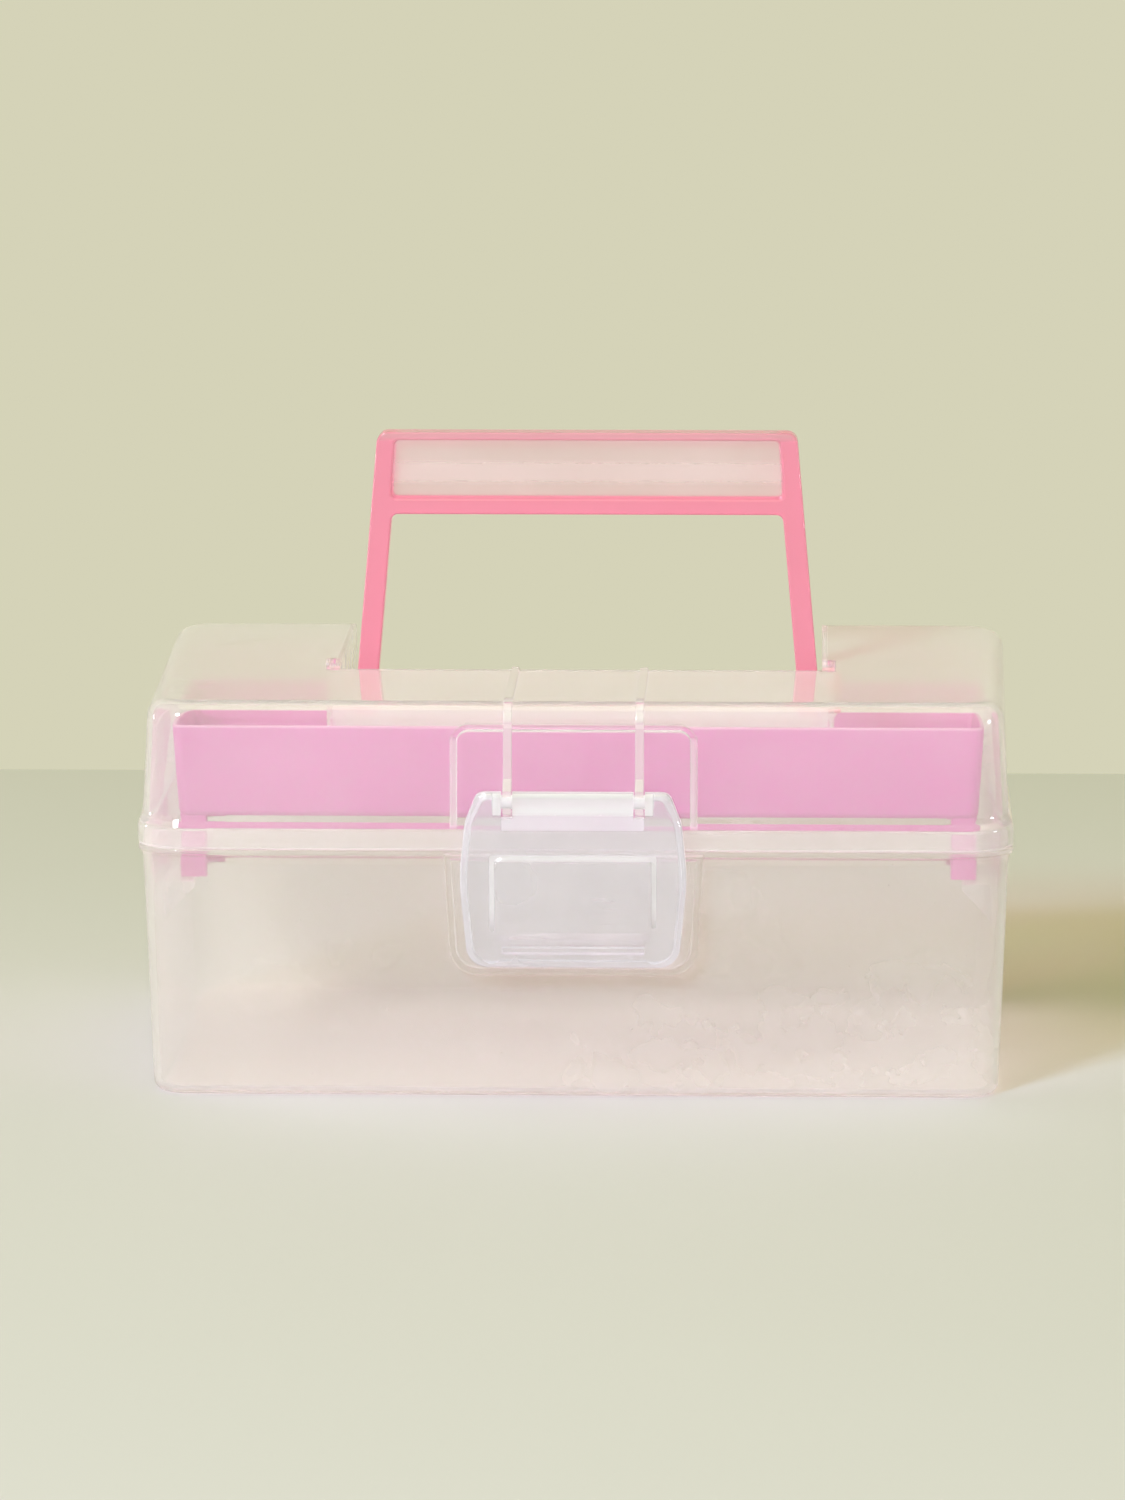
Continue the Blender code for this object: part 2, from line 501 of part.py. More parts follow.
def main():
    for old in list(bpy.data.objects):
        bpy.data.objects.remove(old, do_unlink=True)
    clear = material("clear_polypropylene", (0.80, 0.76, 0.73), 0.28, 0.45)
    latch_mat = material("latch_plastic", (0.84, 0.84, 0.85), 0.22, 0.55)
    pink = material("handle_pink", (0.93, 0.22, 0.36), 0.25, 0.85)
    orchid = material("tray_orchid", (0.80, 0.33, 0.58), 0.30, 0.75)
    steel = material("hinge_pin_steel", (0.62, 0.62, 0.64), 0.30)

    finish(build_base(), clear)
    lid = build_lid()
    finish(lid, clear, (0.0, HINGE_Y, HINGE_Z))
    finish(build_latch(), latch_mat, (0.0, LATCH_AXIS_Y, LATCH_AXIS_Z))
    finish(build_handle(), pink, (0.0, PIVOT_Y, PIVOT_Z))
    finish(build_tray(), orchid, (0.0, 0.0, TRAY_BOTTOM_Z))
    finish(build_hinge_pin("hinge_pin_left", HINGE_CENTRES_X[0]), steel)
    finish(build_hinge_pin("hinge_pin_right", HINGE_CENTRES_X[1]), steel)


main()
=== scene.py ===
"""Looks of the two-layer art supply box: fine mouldings, translucent plastics, stage, light and camera.

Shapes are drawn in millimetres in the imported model's frame (+Z up, front to -Y) and scaled to metres.
"""

import json
import math

import bmesh
import bpy
from mathutils import Matrix, Vector


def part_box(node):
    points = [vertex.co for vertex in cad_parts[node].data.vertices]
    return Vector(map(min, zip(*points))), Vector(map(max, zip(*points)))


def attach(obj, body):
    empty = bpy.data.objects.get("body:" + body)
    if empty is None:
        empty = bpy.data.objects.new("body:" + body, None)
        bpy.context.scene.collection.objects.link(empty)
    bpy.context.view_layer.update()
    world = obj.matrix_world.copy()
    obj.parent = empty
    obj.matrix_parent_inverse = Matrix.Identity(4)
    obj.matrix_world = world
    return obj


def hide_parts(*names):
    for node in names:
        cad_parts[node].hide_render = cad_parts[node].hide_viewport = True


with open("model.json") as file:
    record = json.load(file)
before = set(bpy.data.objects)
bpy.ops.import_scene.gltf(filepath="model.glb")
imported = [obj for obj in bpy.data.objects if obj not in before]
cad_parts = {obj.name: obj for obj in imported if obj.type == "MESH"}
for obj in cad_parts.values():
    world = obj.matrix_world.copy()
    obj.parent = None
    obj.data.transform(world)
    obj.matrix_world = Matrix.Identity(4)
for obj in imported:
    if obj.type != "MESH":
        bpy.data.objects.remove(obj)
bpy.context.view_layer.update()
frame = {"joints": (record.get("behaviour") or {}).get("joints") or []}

MM = 0.001


def box_mm(node):
    low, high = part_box(node)
    return low / MM, high / MM


def joint_mm(name):
    joint = next(item for item in frame["joints"] if item["name"] == name)
    return Vector(joint["pos_m"]) / MM


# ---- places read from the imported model
LID_HIGH = box_mm("lid_shell")[1]
LATCH_LOW = box_mm("front_latch")[0]
HANDLE_LOW, HANDLE_HIGH = box_mm("carry_handle")
TRAY_LOW, TRAY_HIGH = box_mm("inner_tray")
HINGE, LATCH_AXIS, PIVOT = joint_mm("lid_hinge"), joint_mm("latch_pivot"), joint_mm("handle_pivot")
HINGE_PINS = {name: box_mm(name) for name in ("hinge_pin_left", "hinge_pin_right")}

# ---- driving dimensions (millimetres), as in the CAD
GAP = 0.3
WALL = 1.5
BEYOND_Y, BEYOND_Z = 90.0, 130.0        # outside the part, for open-ended cuts
RIM_RADIUS = 15.0                       # corner radius of the base's rim flange
SKIRT_PROUD = 0.1                       # how far the lid's skirt stands out past that flange
CORE_X = LID_HIGH.x - RIM_RADIUS - SKIRT_PROUD      # centres of the vertical corner rounds
CORE_Y = CORE_X - 50.0
CORNER_STEPS, ROUND_SIDES, PIN_SIDES = 22, 48, 32

PART_Z = HINGE.z - GAP / 2              # top of the rim flange
FIN_RISE, FIN_ROOT = 1.0, 1.2           # fins above the lid's top, and sunk into its walls
LID_TOP_Z = LID_HIGH.z - FIN_RISE
COVE_Z, RIM_FOOT_Z = 66.5, 73.2         # the base's wall flares between these heights
FOOT_RADIUS, BASE_TOP_RADIUS = 11.2, 13.5
FLOOR_ROUND, INNER_FLOOR_ROUND = 3.0, 2.25
UPSTAND_RADIUS, UPSTAND_TOP_Z = 13.2, 80.8          # the base's inner lip, inside the lid's skirt
SKIRT_TOP_Z = 80.9
LID_FOOT_Z, LID_TOP_RADIUS, LID_ROUND, LID_REAR_WIDER = 85.4, 12.0, 6.0, 2.6

KNUCKLE_R, KNUCKLE_BORE_R, PIN_R = 3.3, 1.6, 1.25
KNUCKLE_LID, KNUCKLE_BASE, KNUCKLE_GAP = 12.0, 10.0, 0.4
HINGE_CENTRES_X = (-80.0, 80.0)

TROUGH_HALF_X, TROUGH_FRONT_Y, TROUGH_FLOOR_Z, TROUGH_WALL = 73.3, -15.0, 100.0, 1.6
TROUGH_ROUND = 2.5
TROUGH_STEP_HALF, TROUGH_STEP_FRONT_Y, TROUGH_STEP_BACK_Y, TROUGH_STEP_ROUND = 60.6, 19.4, 76.0, 7.0
PIVOT_WALL_X, PIVOT_WALL_BACK_Y, PIVOT_WALL_ROUND = 77.0, 1.0, 1.6
PIVOT_R, PIVOT_PLAY, PIVOT_END_X, HANDLE_SHIFT_X = 3.6, 0.35, 77.0, 2.0
PIN_BOSS_R, PIN_BOSS_SUNK = 2.7, 0.9    # low round boss on the lid above each handle pin

HANDLE_TOP_HALF, HANDLE_HEEL_HALF = 63.4, 70.9
HANDLE_DEPTH, HANDLE_LEG = 8.0, 6.4
GRIP_TOP_Z, GRIP_BOTTOM_Z, GRIP_RIM, GRIP_WEB = 170.2, 165.5, 2.4, 1.6
POCKET_ROUND = 1.8
HANDLE_EJECTOR_X, HANDLE_EJECTOR_Z, HANDLE_EJECTOR_R = (-53.4, -0.2, 54.0), 178.2, 3.6

LATCH_TOP_Z, LATCH_BOTTOM_Z = LATCH_AXIS.z + 3.0, LATCH_LOW.z
LATCH_BACK_Y, LATCH_FRONT_Y = -82.6, -86.8
LATCH_CORNERS = ((28.4, LATCH_TOP_Z, 3.0), (32.0, 84.5, 12.0), (33.7, 68.0, 60.0),
                 (31.1, LATCH_BOTTOM_Z, 6.5))       # half width, height, corner radius
LATCH_BAR_R, LATCH_BAR_HALF, LATCH_ROD_R = 3.0, 24.0, 2.0
BAR_WEB_HALF, BAR_WEB_FOOT_Z = 21.0, 82.6
WINDOW_HALF, WINDOW_FOOT_Z, WINDOW_TOP_Z, WINDOW_PROUD = 24.6, 49.4, 75.0, 0.7
WINDOW_CORNERS = ((23.8, WINDOW_FOOT_Z, 2.8), (24.7, 58.0, 30.0), (WINDOW_HALF, 67.0, 30.0),
                  (24.2, WINDOW_TOP_Z, 4.2))
LATCH_EJECTOR_X, LATCH_EJECTORS = 24.1, ((79.6, 4.8), (45.7, 3.2))      # height and radius
HOOK_R, HOOK_BORE_R, HOOK_MOUTH, HOOK_MOUTH_RISE, HOOK_CUT_HALF = 3.8, 2.35, 1.7, 5.3, 30
FIN_X, FIN_WIDTH, FIN_SLOT, FIN_PROUD = 19.5, 2.6, 3.4, 2.6
FIN_BEND_R, FIN_FOOT_Z, HOOK_TOP_Z = 8.0, 87.4, 97.0

BASE_PAD_Y, BASE_PAD_ROOT_Y, BASE_INSIDE_Y = -82.0, -77.3, -70.0
BASE_PAD_TOP_HALF, BASE_PAD_FOOT_HALF, BASE_PAD_FOOT_Z, BASE_PAD_ROUND = 38.4, 36.5, 38.0, 8.5
LID_PAD_HALF, LID_PAD_FOOT_Z, LID_PAD_TOP_Z, LID_PAD_ROUND = 36.4, 82.6, 112.8, 5.5
LID_PAD_PROUD = 1.1
CATCH_TOP_Z, CATCH_BOTTOM_Z, CATCH_Y, CATCH_HALF = 50.4, 47.7, -84.4, 21.0

TRAY_TOP_HALF_X, TRAY_TOP_HALF_Y = 123.0, 38.4
TRAY_FLOOR_HALF_X, TRAY_FLOOR_HALF_Y = 120.8, 37.0
TRAY_BOTTOM_Z, TRAY_CORNER, TRAY_ROUND, TRAY_INNER_ROUND = 76.8, 4.0, 2.5, 1.5
TRAY_FOOT_WIDTH = 8.4
TRAY_NOTCH_HALF, TRAY_NOTCH_Z, TRAY_NOTCH_ROUND = 77.0, 95.5, 4.0
LEDGE_Z, LEDGE_INNER_X, LEDGE_DROP, LEDGE_HALF_Y = TRAY_LOW.z - GAP, 115.5, 13.0, 42.0


# ---- mesh helpers
def make_object(name, bm):
    """Wrap a bmesh drawn in millimetres as a metre-sized object with outward normals."""
    bmesh.ops.scale(bm, vec=(MM, MM, MM), verts=bm.verts)
    bmesh.ops.recalc_face_normals(bm, faces=bm.faces)
    mesh = bpy.data.meshes.new(name)
    bm.to_mesh(mesh)
    bm.free()
    obj = bpy.data.objects.new(name, mesh)
    bpy.context.scene.collection.objects.link(obj)
    return obj


def loft(name, rings):
    """Closed solid through rings of equal point counts; the first and last ring are capped."""
    bm = bmesh.new()
    rows = [[bm.verts.new(point) for point in ring] for ring in rings]
    for low, high in zip(rows, rows[1:]):
        count = len(low)
        for i in range(count):
            j = (i + 1) % count
            bm.faces.new((low[i], low[j], high[j], high[i]))
    bm.faces.new(rows[0][::-1])
    bm.faces.new(rows[-1])
    return make_object(name, bm)


def prism(name, outline, place, low, high):
    return loft(name, [[place(u, v, w) for u, v in outline] for w in (low, high)])


def along_x(u, v, w):
    return (w, u, v)


def along_y(u, v, w):
    return (u, w, v)


def along_z(u, v, w):
    return (u, v, w)


def arc(centre_u, centre_v, radius, start, end, steps):
    points = []
    for i in range(steps + 1):
        angle = math.radians(start + (end - start) * i / steps)
        points.append((centre_u + radius * math.cos(angle), centre_v + radius * math.sin(angle)))
    return points


def rounded_polygon(corners, steps=10):
    """Outline through corners (u, v, radius), with each corner turned into an arc."""
    outline = []
    count = len(corners)
    for i, (u, v, radius) in enumerate(corners):
        here = Vector((u, v))
        back = (Vector(corners[i - 1][:2]) - here).normalized()
        ahead = (Vector(corners[(i + 1) % count][:2]) - here).normalized()
        if radius <= 0:
            outline.append((u, v))
            continue
        half = back.angle(ahead) / 2
        reach = radius / math.tan(half)
        centre = here + (back + ahead).normalized() * (radius / math.sin(half))
        first = here + back * reach - centre
        turn = first.angle_signed(here + ahead * reach - centre)
        for k in range(steps + 1):
            a = -turn * k / steps
            outline.append((centre.x + first.x * math.cos(a) - first.y * math.sin(a),
                            centre.y + first.x * math.sin(a) + first.y * math.cos(a)))
    return outline


def circle(centre_u, centre_v, radius, sides=ROUND_SIDES):
    return arc(centre_u, centre_v, radius, 0, 360 * (sides - 1) / sides, sides - 1)


def box_outline(low_u, low_v, high_u, high_v, radius=0.0, steps=10):
    return rounded_polygon([(low_u, low_v, radius), (high_u, low_v, radius),
                            (high_u, high_v, radius), (low_u, high_v, radius)], steps)


def block(name, low, high):
    return prism(name, box_outline(low[0], low[1], high[0], high[1]), along_z, low[2], high[2])


def turned(name, y, z, profile, sides=ROUND_SIDES):
    """Round bar along X through (x, radius) pairs."""
    return loft(name, [[(x, u, v) for u, v in circle(y, z, radius, sides)] for x, radius in profile])


def rod(name, y, z, radius, low_x, high_x, soft=0.0):
    """Round bar along X, with its ends eased by soft."""
    profile = [(low_x, radius), (high_x, radius)]
    if soft > 0:
        profile = [(low_x, radius - soft), (low_x + soft, radius), (high_x - soft, radius),
                   (high_x, radius - soft)]
    return turned(name, y, z, profile)


def disc(name, x, z, radius, low_y, high_y):
    """Round plug along Y."""
    return prism(name, circle(x, z, radius), along_y, low_y, high_y)


def combine(target, tool, operation):
    """Exact boolean, applied at once; the tool is used up."""
    modifier = target.modifiers.new(tool.name, "BOOLEAN")
    modifier.operation = operation
    modifier.solver = "EXACT"
    modifier.object = tool
    depsgraph = bpy.context.evaluated_depsgraph_get()
    mesh = bpy.data.meshes.new_from_object(target.evaluated_get(depsgraph))
    target.modifiers.remove(modifier)
    old, target.data = target.data, mesh
    bpy.data.meshes.remove(old)
    bpy.data.meshes.remove(tool.data)


def add(target, *tools):
    for tool in tools:
        combine(target, tool, "UNION")


def cut(target, *tools):
    for tool in tools:
        combine(target, tool, "DIFFERENCE")


def settle(obj, material, body, slot, *nodes):
    """Smooth shading with crisp creases, material, and the calls that tie a piece to the frame."""
    mesh = obj.data
    mesh.name = obj.name
    bm = bmesh.new()
    bm.from_mesh(mesh)
    bmesh.ops.remove_doubles(bm, verts=bm.verts, dist=2e-6)
    bmesh.ops.dissolve_degenerate(bm, edges=bm.edges, dist=2e-6)
    bm.to_mesh(mesh)
    bm.free()
    mesh.shade_smooth()
    mesh.set_sharp_from_angle(angle=math.radians(28))
    weighted = obj.modifiers.new("weighted_normals", "WEIGHTED_NORMAL")
    weighted.keep_sharp = True
    weighted.weight = 80
    mesh.materials.clear()
    mesh.materials.append(material)
    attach(obj, body)
    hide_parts(*nodes)


def box_ring(radius, z):
    """Horizontal ring of the box: every ring shares its corner centres."""
    ring = []
    for sign_x, sign_y, start in ((1, 1, 0), (-1, 1, 90), (-1, -1, 180), (1, -1, 270)):
        for u, v in arc(sign_x * CORE_X, sign_y * CORE_Y, radius, start, start + 90, CORNER_STEPS):
            ring.append((u, v, z))
    return ring


def round_profile(radius, z, size, steps, inward_first):
    """(corner radius, z) pairs of a quarter round between a flat and a wall of that radius."""
    pairs = []
    for i in range(steps + 1):
        angle = math.radians(90 * i / steps)
        if inward_first:
            pairs.append((radius - size + size * math.sin(angle), z - size * math.cos(angle)))
        else:
            pairs.append((radius - size + size * math.cos(angle), z + size * math.sin(angle)))
    return pairs


def eased(size, steps=5):
    """(inset, retreat) pairs of a rounded edge of that size, from the side onto the face."""
    return [(size * (1 - math.cos(math.radians(90 * i / steps))),
             size * (1 - math.sin(math.radians(90 * i / steps)))) for i in range(steps + 1)]


# ---- base
def base_wall_radius(z):
    return FOOT_RADIUS + (BASE_TOP_RADIUS - FOOT_RADIUS) * (z - FLOOR_ROUND) / (COVE_Z - FLOOR_ROUND)


def flare(low_radius, low_z, high_radius, high_z, steps):
    """Quarter-wave flare from an upright wall out to a flange."""
    return [(low_radius + (high_radius - low_radius) * (1 - math.cos(math.radians(90 * i / steps))),
             low_z + (high_z - low_z) * math.sin(math.radians(90 * i / steps)) ** 0.9)
            for i in range(steps + 1)]


def base_pad_ring(inset, y):
    top, foot = PART_Z - 2 * GAP - inset, BASE_PAD_FOOT_Z + inset
    top_half, foot_half = BASE_PAD_TOP_HALF - inset, BASE_PAD_FOOT_HALF - inset
    corner = BASE_PAD_ROUND - inset
    outline = rounded_polygon([(-top_half, top, 0), (-foot_half, foot, corner), (foot_half, foot, corner),
                               (top_half, top, 0)], 12)
    return [(u, y, v) for u, v in outline]


def knuckle_outline(side):
    """Barrel and its arm to the rim, seen along the hinge; side -1 hangs below, +1 stands above."""
    reach, step, root_y, neck_y = 4.6, 0.6, 79.2, 81.0
    barrel = arc(HINGE.y, HINGE.z, KNUCKLE_R, side * 60, -side * 180, 32)
    return barrel + [(neck_y, HINGE.z + side * GAP), (root_y, HINGE.z + side * step),
                     (root_y, HINGE.z + side * reach)]


def build_base(material):
    outer = round_profile(FOOT_RADIUS, FLOOR_ROUND, FLOOR_ROUND, 8, True)
    cove = flare(BASE_TOP_RADIUS, COVE_Z, RIM_RADIUS - 0.35, RIM_FOOT_Z, 7)
    rim = [(RIM_RADIUS - 0.1, RIM_FOOT_Z + 0.15), (RIM_RADIUS, RIM_FOOT_Z + 0.45),
           (RIM_RADIUS, PART_Z - 0.35), (RIM_RADIUS - 0.12, PART_Z - 0.1), (RIM_RADIUS - 0.4, PART_Z)]
    upstand = [(UPSTAND_RADIUS, PART_Z), (UPSTAND_RADIUS, UPSTAND_TOP_Z - 0.7),
               (UPSTAND_RADIUS - 0.1, UPSTAND_TOP_Z - 0.3), (UPSTAND_RADIUS - 0.4, UPSTAND_TOP_Z),
               (UPSTAND_RADIUS - 0.9, UPSTAND_TOP_Z), (UPSTAND_RADIUS - 1.2, UPSTAND_TOP_Z - 0.3)]
    inner = round_profile(FOOT_RADIUS - WALL, WALL + INNER_FLOOR_ROUND, INNER_FLOOR_ROUND, 7, True)
    profile = outer + cove + rim + upstand + inner[::-1]
    base = loft("base_moulding", [box_ring(radius, z) for radius, z in profile])

    rings = [(0.0, BASE_PAD_ROOT_Y)] + [(inset, BASE_PAD_Y + back) for inset, back in eased(0.9)]
    add(base, loft("pad", [base_pad_ring(inset, y) for inset, y in rings]))
    rings = [(2.9, BASE_PAD_Y + 1.6), (2.2, BASE_PAD_Y + 1.8), (1.9, BASE_PAD_Y + 2.5), (1.9, BASE_INSIDE_Y)]
    cut(base, loft("pad_hollow", [base_pad_ring(inset, y) for inset, y in rings]))
    catch = [(CATCH_Y, CATCH_BOTTOM_Z + 0.4), (CATCH_Y + 0.4, CATCH_BOTTOM_Z),
             (BASE_PAD_Y + 1, CATCH_BOTTOM_Z), (BASE_PAD_Y + 1, CATCH_TOP_Z + 1.4),
             (CATCH_Y + 0.5, CATCH_TOP_Z - 1.0), (CATCH_Y + 0.1, CATCH_TOP_Z - 1.5)]
    add(base, prism("latch_catch", catch, along_x, -CATCH_HALF, CATCH_HALF))

    wall_x = CORE_X + base_wall_radius(50.0) - 0.6
    for side in (-1, 1):
        ledge = [(side * (LEDGE_INNER_X + 0.4), LEDGE_Z), (side * wall_x, LEDGE_Z),
                 (side * wall_x, LEDGE_Z - LEDGE_DROP), (side * LEDGE_INNER_X, LEDGE_Z - 1.8),
                 (side * LEDGE_INNER_X, LEDGE_Z - 0.4)]
        add(base, prism("tray_ledge", ledge, along_y, -LEDGE_HALF_Y, LEDGE_HALF_Y))

    for centre in HINGE_CENTRES_X:
        for side in (-1, 1):
            near = centre + side * (KNUCKLE_LID / 2 + KNUCKLE_GAP)
            low, high = sorted((near, near + side * KNUCKLE_BASE))
            add(base, prism("base_knuckle", knuckle_outline(-1), along_x, low, high))
        cut(base, rod("base_bore", HINGE.y, HINGE.z, KNUCKLE_BORE_R, centre - 20, centre + 20))
    settle(base, material, "base", "clear_shell", "base_box")


# ---- lid
def lid_wall_radius(z):
    share = (z - LID_FOOT_Z) / (LID_TOP_Z - LID_ROUND - LID_FOOT_Z)
    return BASE_TOP_RADIUS + (LID_TOP_RADIUS - BASE_TOP_RADIUS) * share


def lid_face_y(z):
    return -(CORE_Y + lid_wall_radius(z))


def lid_ring(radius, z):
    """Plan of the lid at a height, up to LID_REAR_WIDER wider at the back than at the front."""
    rise = (z - LID_FOOT_Z) / (LID_TOP_Z - LID_ROUND - LID_FOOT_Z)
    widen = LID_REAR_WIDER * min(max(rise, 0.0), 1.0) / CORE_X
    return [(u * (1 + widen * max(0.0, v + CORE_Y) / (2 * CORE_Y)), v, w)
            for u, v, w in box_ring(radius, z)]


def fin_outline(inset):
    """Side view of a fin: hook round the latch bar, up the front and back along the top."""
    top, root_z, wall_top = LID_TOP_Z + FIN_RISE - inset, LID_TOP_Z - FIN_ROOT, LID_TOP_Z - LID_ROUND
    front_top_y = lid_face_y(wall_top) - FIN_PROUD * 0.55 + inset
    bend_r = FIN_BEND_R - inset
    bend = arc(front_top_y + bend_r, top - bend_r, bend_r, 180, 90, 16)
    outside = [(lid_face_y(HOOK_TOP_Z) - FIN_PROUD + inset, HOOK_TOP_Z)] + bend
    back_y = TROUGH_FRONT_Y - 1.0 - inset
    inside = [(back_y, top), (back_y, root_z), (lid_face_y(wall_top) + LID_ROUND, root_z),
              (lid_face_y(wall_top) + FIN_ROOT, wall_top), (lid_face_y(FIN_FOOT_Z) + FIN_ROOT, FIN_FOOT_Z)]
    return outside + inside + arc(LATCH_AXIS.y, LATCH_AXIS.z, HOOK_R - inset, -70, -240, 28)


def trough_ring(grow, z, corner):
    """Plan of the handle trough, open at the back, grown sideways and to the front."""
    half, front = TROUGH_HALF_X + grow, TROUGH_FRONT_Y - grow
    plan = rounded_polygon([(-half, front, corner), (half, front, corner), (half, BEYOND_Y, 0),
                            (-half, BEYOND_Y, 0)], 8)
    return [(u, v, z) for u, v in plan]


def trough_step_ring(inset, z):
    """Plan of the low step on the trough's floor."""
    half, front = TROUGH_STEP_HALF - inset, TROUGH_STEP_FRONT_Y + inset
    return [(u, v, z) for u, v in box_outline(-half, front, half, TROUGH_STEP_BACK_Y, TROUGH_STEP_ROUND)]


def lid_pad_rings(insets):
    """Rings of the arch pad, which follows the slope of the lid's front, from (inset, depth) pairs."""
    rings = []
    for inset, depth in insets:
        half, top, corner = LID_PAD_HALF - inset, LID_PAD_TOP_Z - inset, LID_PAD_ROUND - inset
        outline = rounded_polygon([(-half, LID_PAD_FOOT_Z, 0), (-half, top, corner), (half, top, corner),
                                   (half, LID_PAD_FOOT_Z, 0)], 12)
        rings.append([(u, lid_face_y(v) + depth, v) for u, v in outline])
    return rings


def build_lid(material):
    part_z = PART_Z + GAP
    radius = RIM_RADIUS + SKIRT_PROUD
    skirt = [(radius - 0.5, part_z), (radius - 0.1, part_z + 0.12), (radius, part_z + 0.4),
             (radius, SKIRT_TOP_Z), (radius - 0.1, SKIRT_TOP_Z + 0.5), (radius - 0.35, SKIRT_TOP_Z + 1.1),
             (radius - 0.75, SKIRT_TOP_Z + 2.0), (radius - 1.15, SKIRT_TOP_Z + 2.9),
             (radius - 1.45, SKIRT_TOP_Z + 3.7), (BASE_TOP_RADIUS, LID_FOOT_Z)]
    crown = round_profile(LID_TOP_RADIUS, LID_TOP_Z - LID_ROUND, LID_ROUND, 14, False)
    lid = loft("lid_moulding", [lid_ring(r, z) for r, z in skirt + crown])

    radius -= WALL
    inner_skirt = [(radius, part_z - 3.0), (radius, SKIRT_TOP_Z + 0.5), (radius - 0.4, SKIRT_TOP_Z + 1.1),
                   (radius - 1.2, SKIRT_TOP_Z + 1.8), (BASE_TOP_RADIUS - WALL, SKIRT_TOP_Z + 2.5)]
    inner_round = LID_ROUND - WALL
    inner_crown = round_profile(LID_TOP_RADIUS - WALL, LID_TOP_Z - LID_ROUND, inner_round, 10, False)
    cavity = loft("cavity", [lid_ring(r, z) for r, z in inner_skirt + inner_crown])
    wall, floor_z, under_z = TROUGH_WALL, TROUGH_FLOOR_Z, TROUGH_FLOOR_Z - TROUGH_WALL
    outer_round = TROUGH_ROUND + wall
    cut(cavity, loft("trough_body", [trough_ring(wall - 1.4, under_z, outer_round - 1.5),
                                     trough_ring(wall - 0.5, under_z + 0.4, outer_round - 0.5),
                                     trough_ring(wall, under_z + 1.4, outer_round),
                                     trough_ring(wall, BEYOND_Z, outer_round)]))
    pivot_walls = box_outline(-PIVOT_WALL_X, TROUGH_FRONT_Y - wall, PIVOT_WALL_X, PIVOT_WALL_BACK_Y,
                              PIVOT_WALL_ROUND)
    cut(cavity, prism("pivot_walls", pivot_walls, along_z, under_z, BEYOND_Z))
    cut(lid, cavity)
    cut(lid, loft("trough", [trough_ring(-1.2, floor_z, TROUGH_ROUND - 1.0),
                             trough_ring(-0.4, floor_z + 0.3, TROUGH_ROUND - 0.3),
                             trough_ring(0.0, floor_z + 1.2, TROUGH_ROUND),
                             trough_ring(0.0, BEYOND_Z, TROUGH_ROUND)]))
    step = [(0.0, 0.0), (0.0, 0.35), (0.4, 0.75), (1.2, 0.9)]
    add(lid, loft("trough_step", [trough_step_ring(inset, floor_z - 0.2 + rise) for inset, rise in step]))

    pad = [(0.0, 0.9), (0.0, 0.0)] + [(inset, back - LID_PAD_PROUD) for inset, back in eased(0.8)]
    add(lid, loft("lid_pad", lid_pad_rings(pad)))
    cut(lid, loft("lid_pad_hollow", lid_pad_rings([(1.7, 4.0), (1.7, 1.2), (2.0, 0.7), (2.6, 0.5)])))

    for side in (-1, 1):
        low = side * FIN_X - FIN_WIDTH / 2
        edges = ((0.5, low), (0.15, low + 0.15), (0.0, low + 0.5), (0.0, low + FIN_WIDTH - 0.5),
                 (0.15, low + FIN_WIDTH - 0.15), (0.5, low + FIN_WIDTH))
        add(lid, loft("fin", [[(x, u, v) for u, v in fin_outline(inset)] for inset, x in edges]))
        boss = arc(PIVOT.y, LID_TOP_Z - PIN_BOSS_SUNK, PIN_BOSS_R, 0, 180, 20)
        low, high = sorted((side * (TROUGH_HALF_X + 0.1), side * (PIVOT_WALL_X + 0.5)))
        add(lid, prism("pin_boss", boss, along_x, low, high))
        low, high = sorted((side * (TROUGH_HALF_X - 5), side * (PIVOT_WALL_X + 5)))
        cut(lid, rod("pin_hole", PIVOT.y, PIVOT.z, PIVOT_R + PIVOT_PLAY, low, high))
    cut(lid, rod("hook_bore", LATCH_AXIS.y, LATCH_AXIS.z, HOOK_BORE_R, -HOOK_CUT_HALF, HOOK_CUT_HALF))
    cut(lid, block("hook_mouth", (-HOOK_CUT_HALF, LATCH_AXIS.y - 8, LATCH_AXIS.z - 9),
                   (HOOK_CUT_HALF, LATCH_AXIS.y - HOOK_MOUTH, LATCH_AXIS.z + HOOK_MOUTH_RISE)))

    for centre in HINGE_CENTRES_X:
        half = KNUCKLE_LID / 2
        add(lid, prism("lid_knuckle", knuckle_outline(1), along_x, centre - half, centre + half))
        cut(lid, rod("lid_bore", HINGE.y, HINGE.z, KNUCKLE_BORE_R, centre - 20, centre + 20))
    settle(lid, material, "lid", "clear_shell", "lid_shell")


# ---- latch
def latch_ring(inset, y):
    """Barrel-sided outline of the latch flap, drawn from the top right, clockwise."""
    shoulder, waist, belly, foot = LATCH_CORNERS
    corners = [(shoulder[0] - inset, shoulder[1] - inset, shoulder[2] - 0.5 * inset),
               (waist[0] - inset, *waist[1:]), (belly[0] - inset, *belly[1:]),
               (foot[0] - inset, foot[1] + inset, foot[2] - inset)]
    mirrored = [(-u, v, radius) for u, v, radius in reversed(corners)]
    return [(u, y, v) for u, v in rounded_polygon(corners + mirrored, 12)]


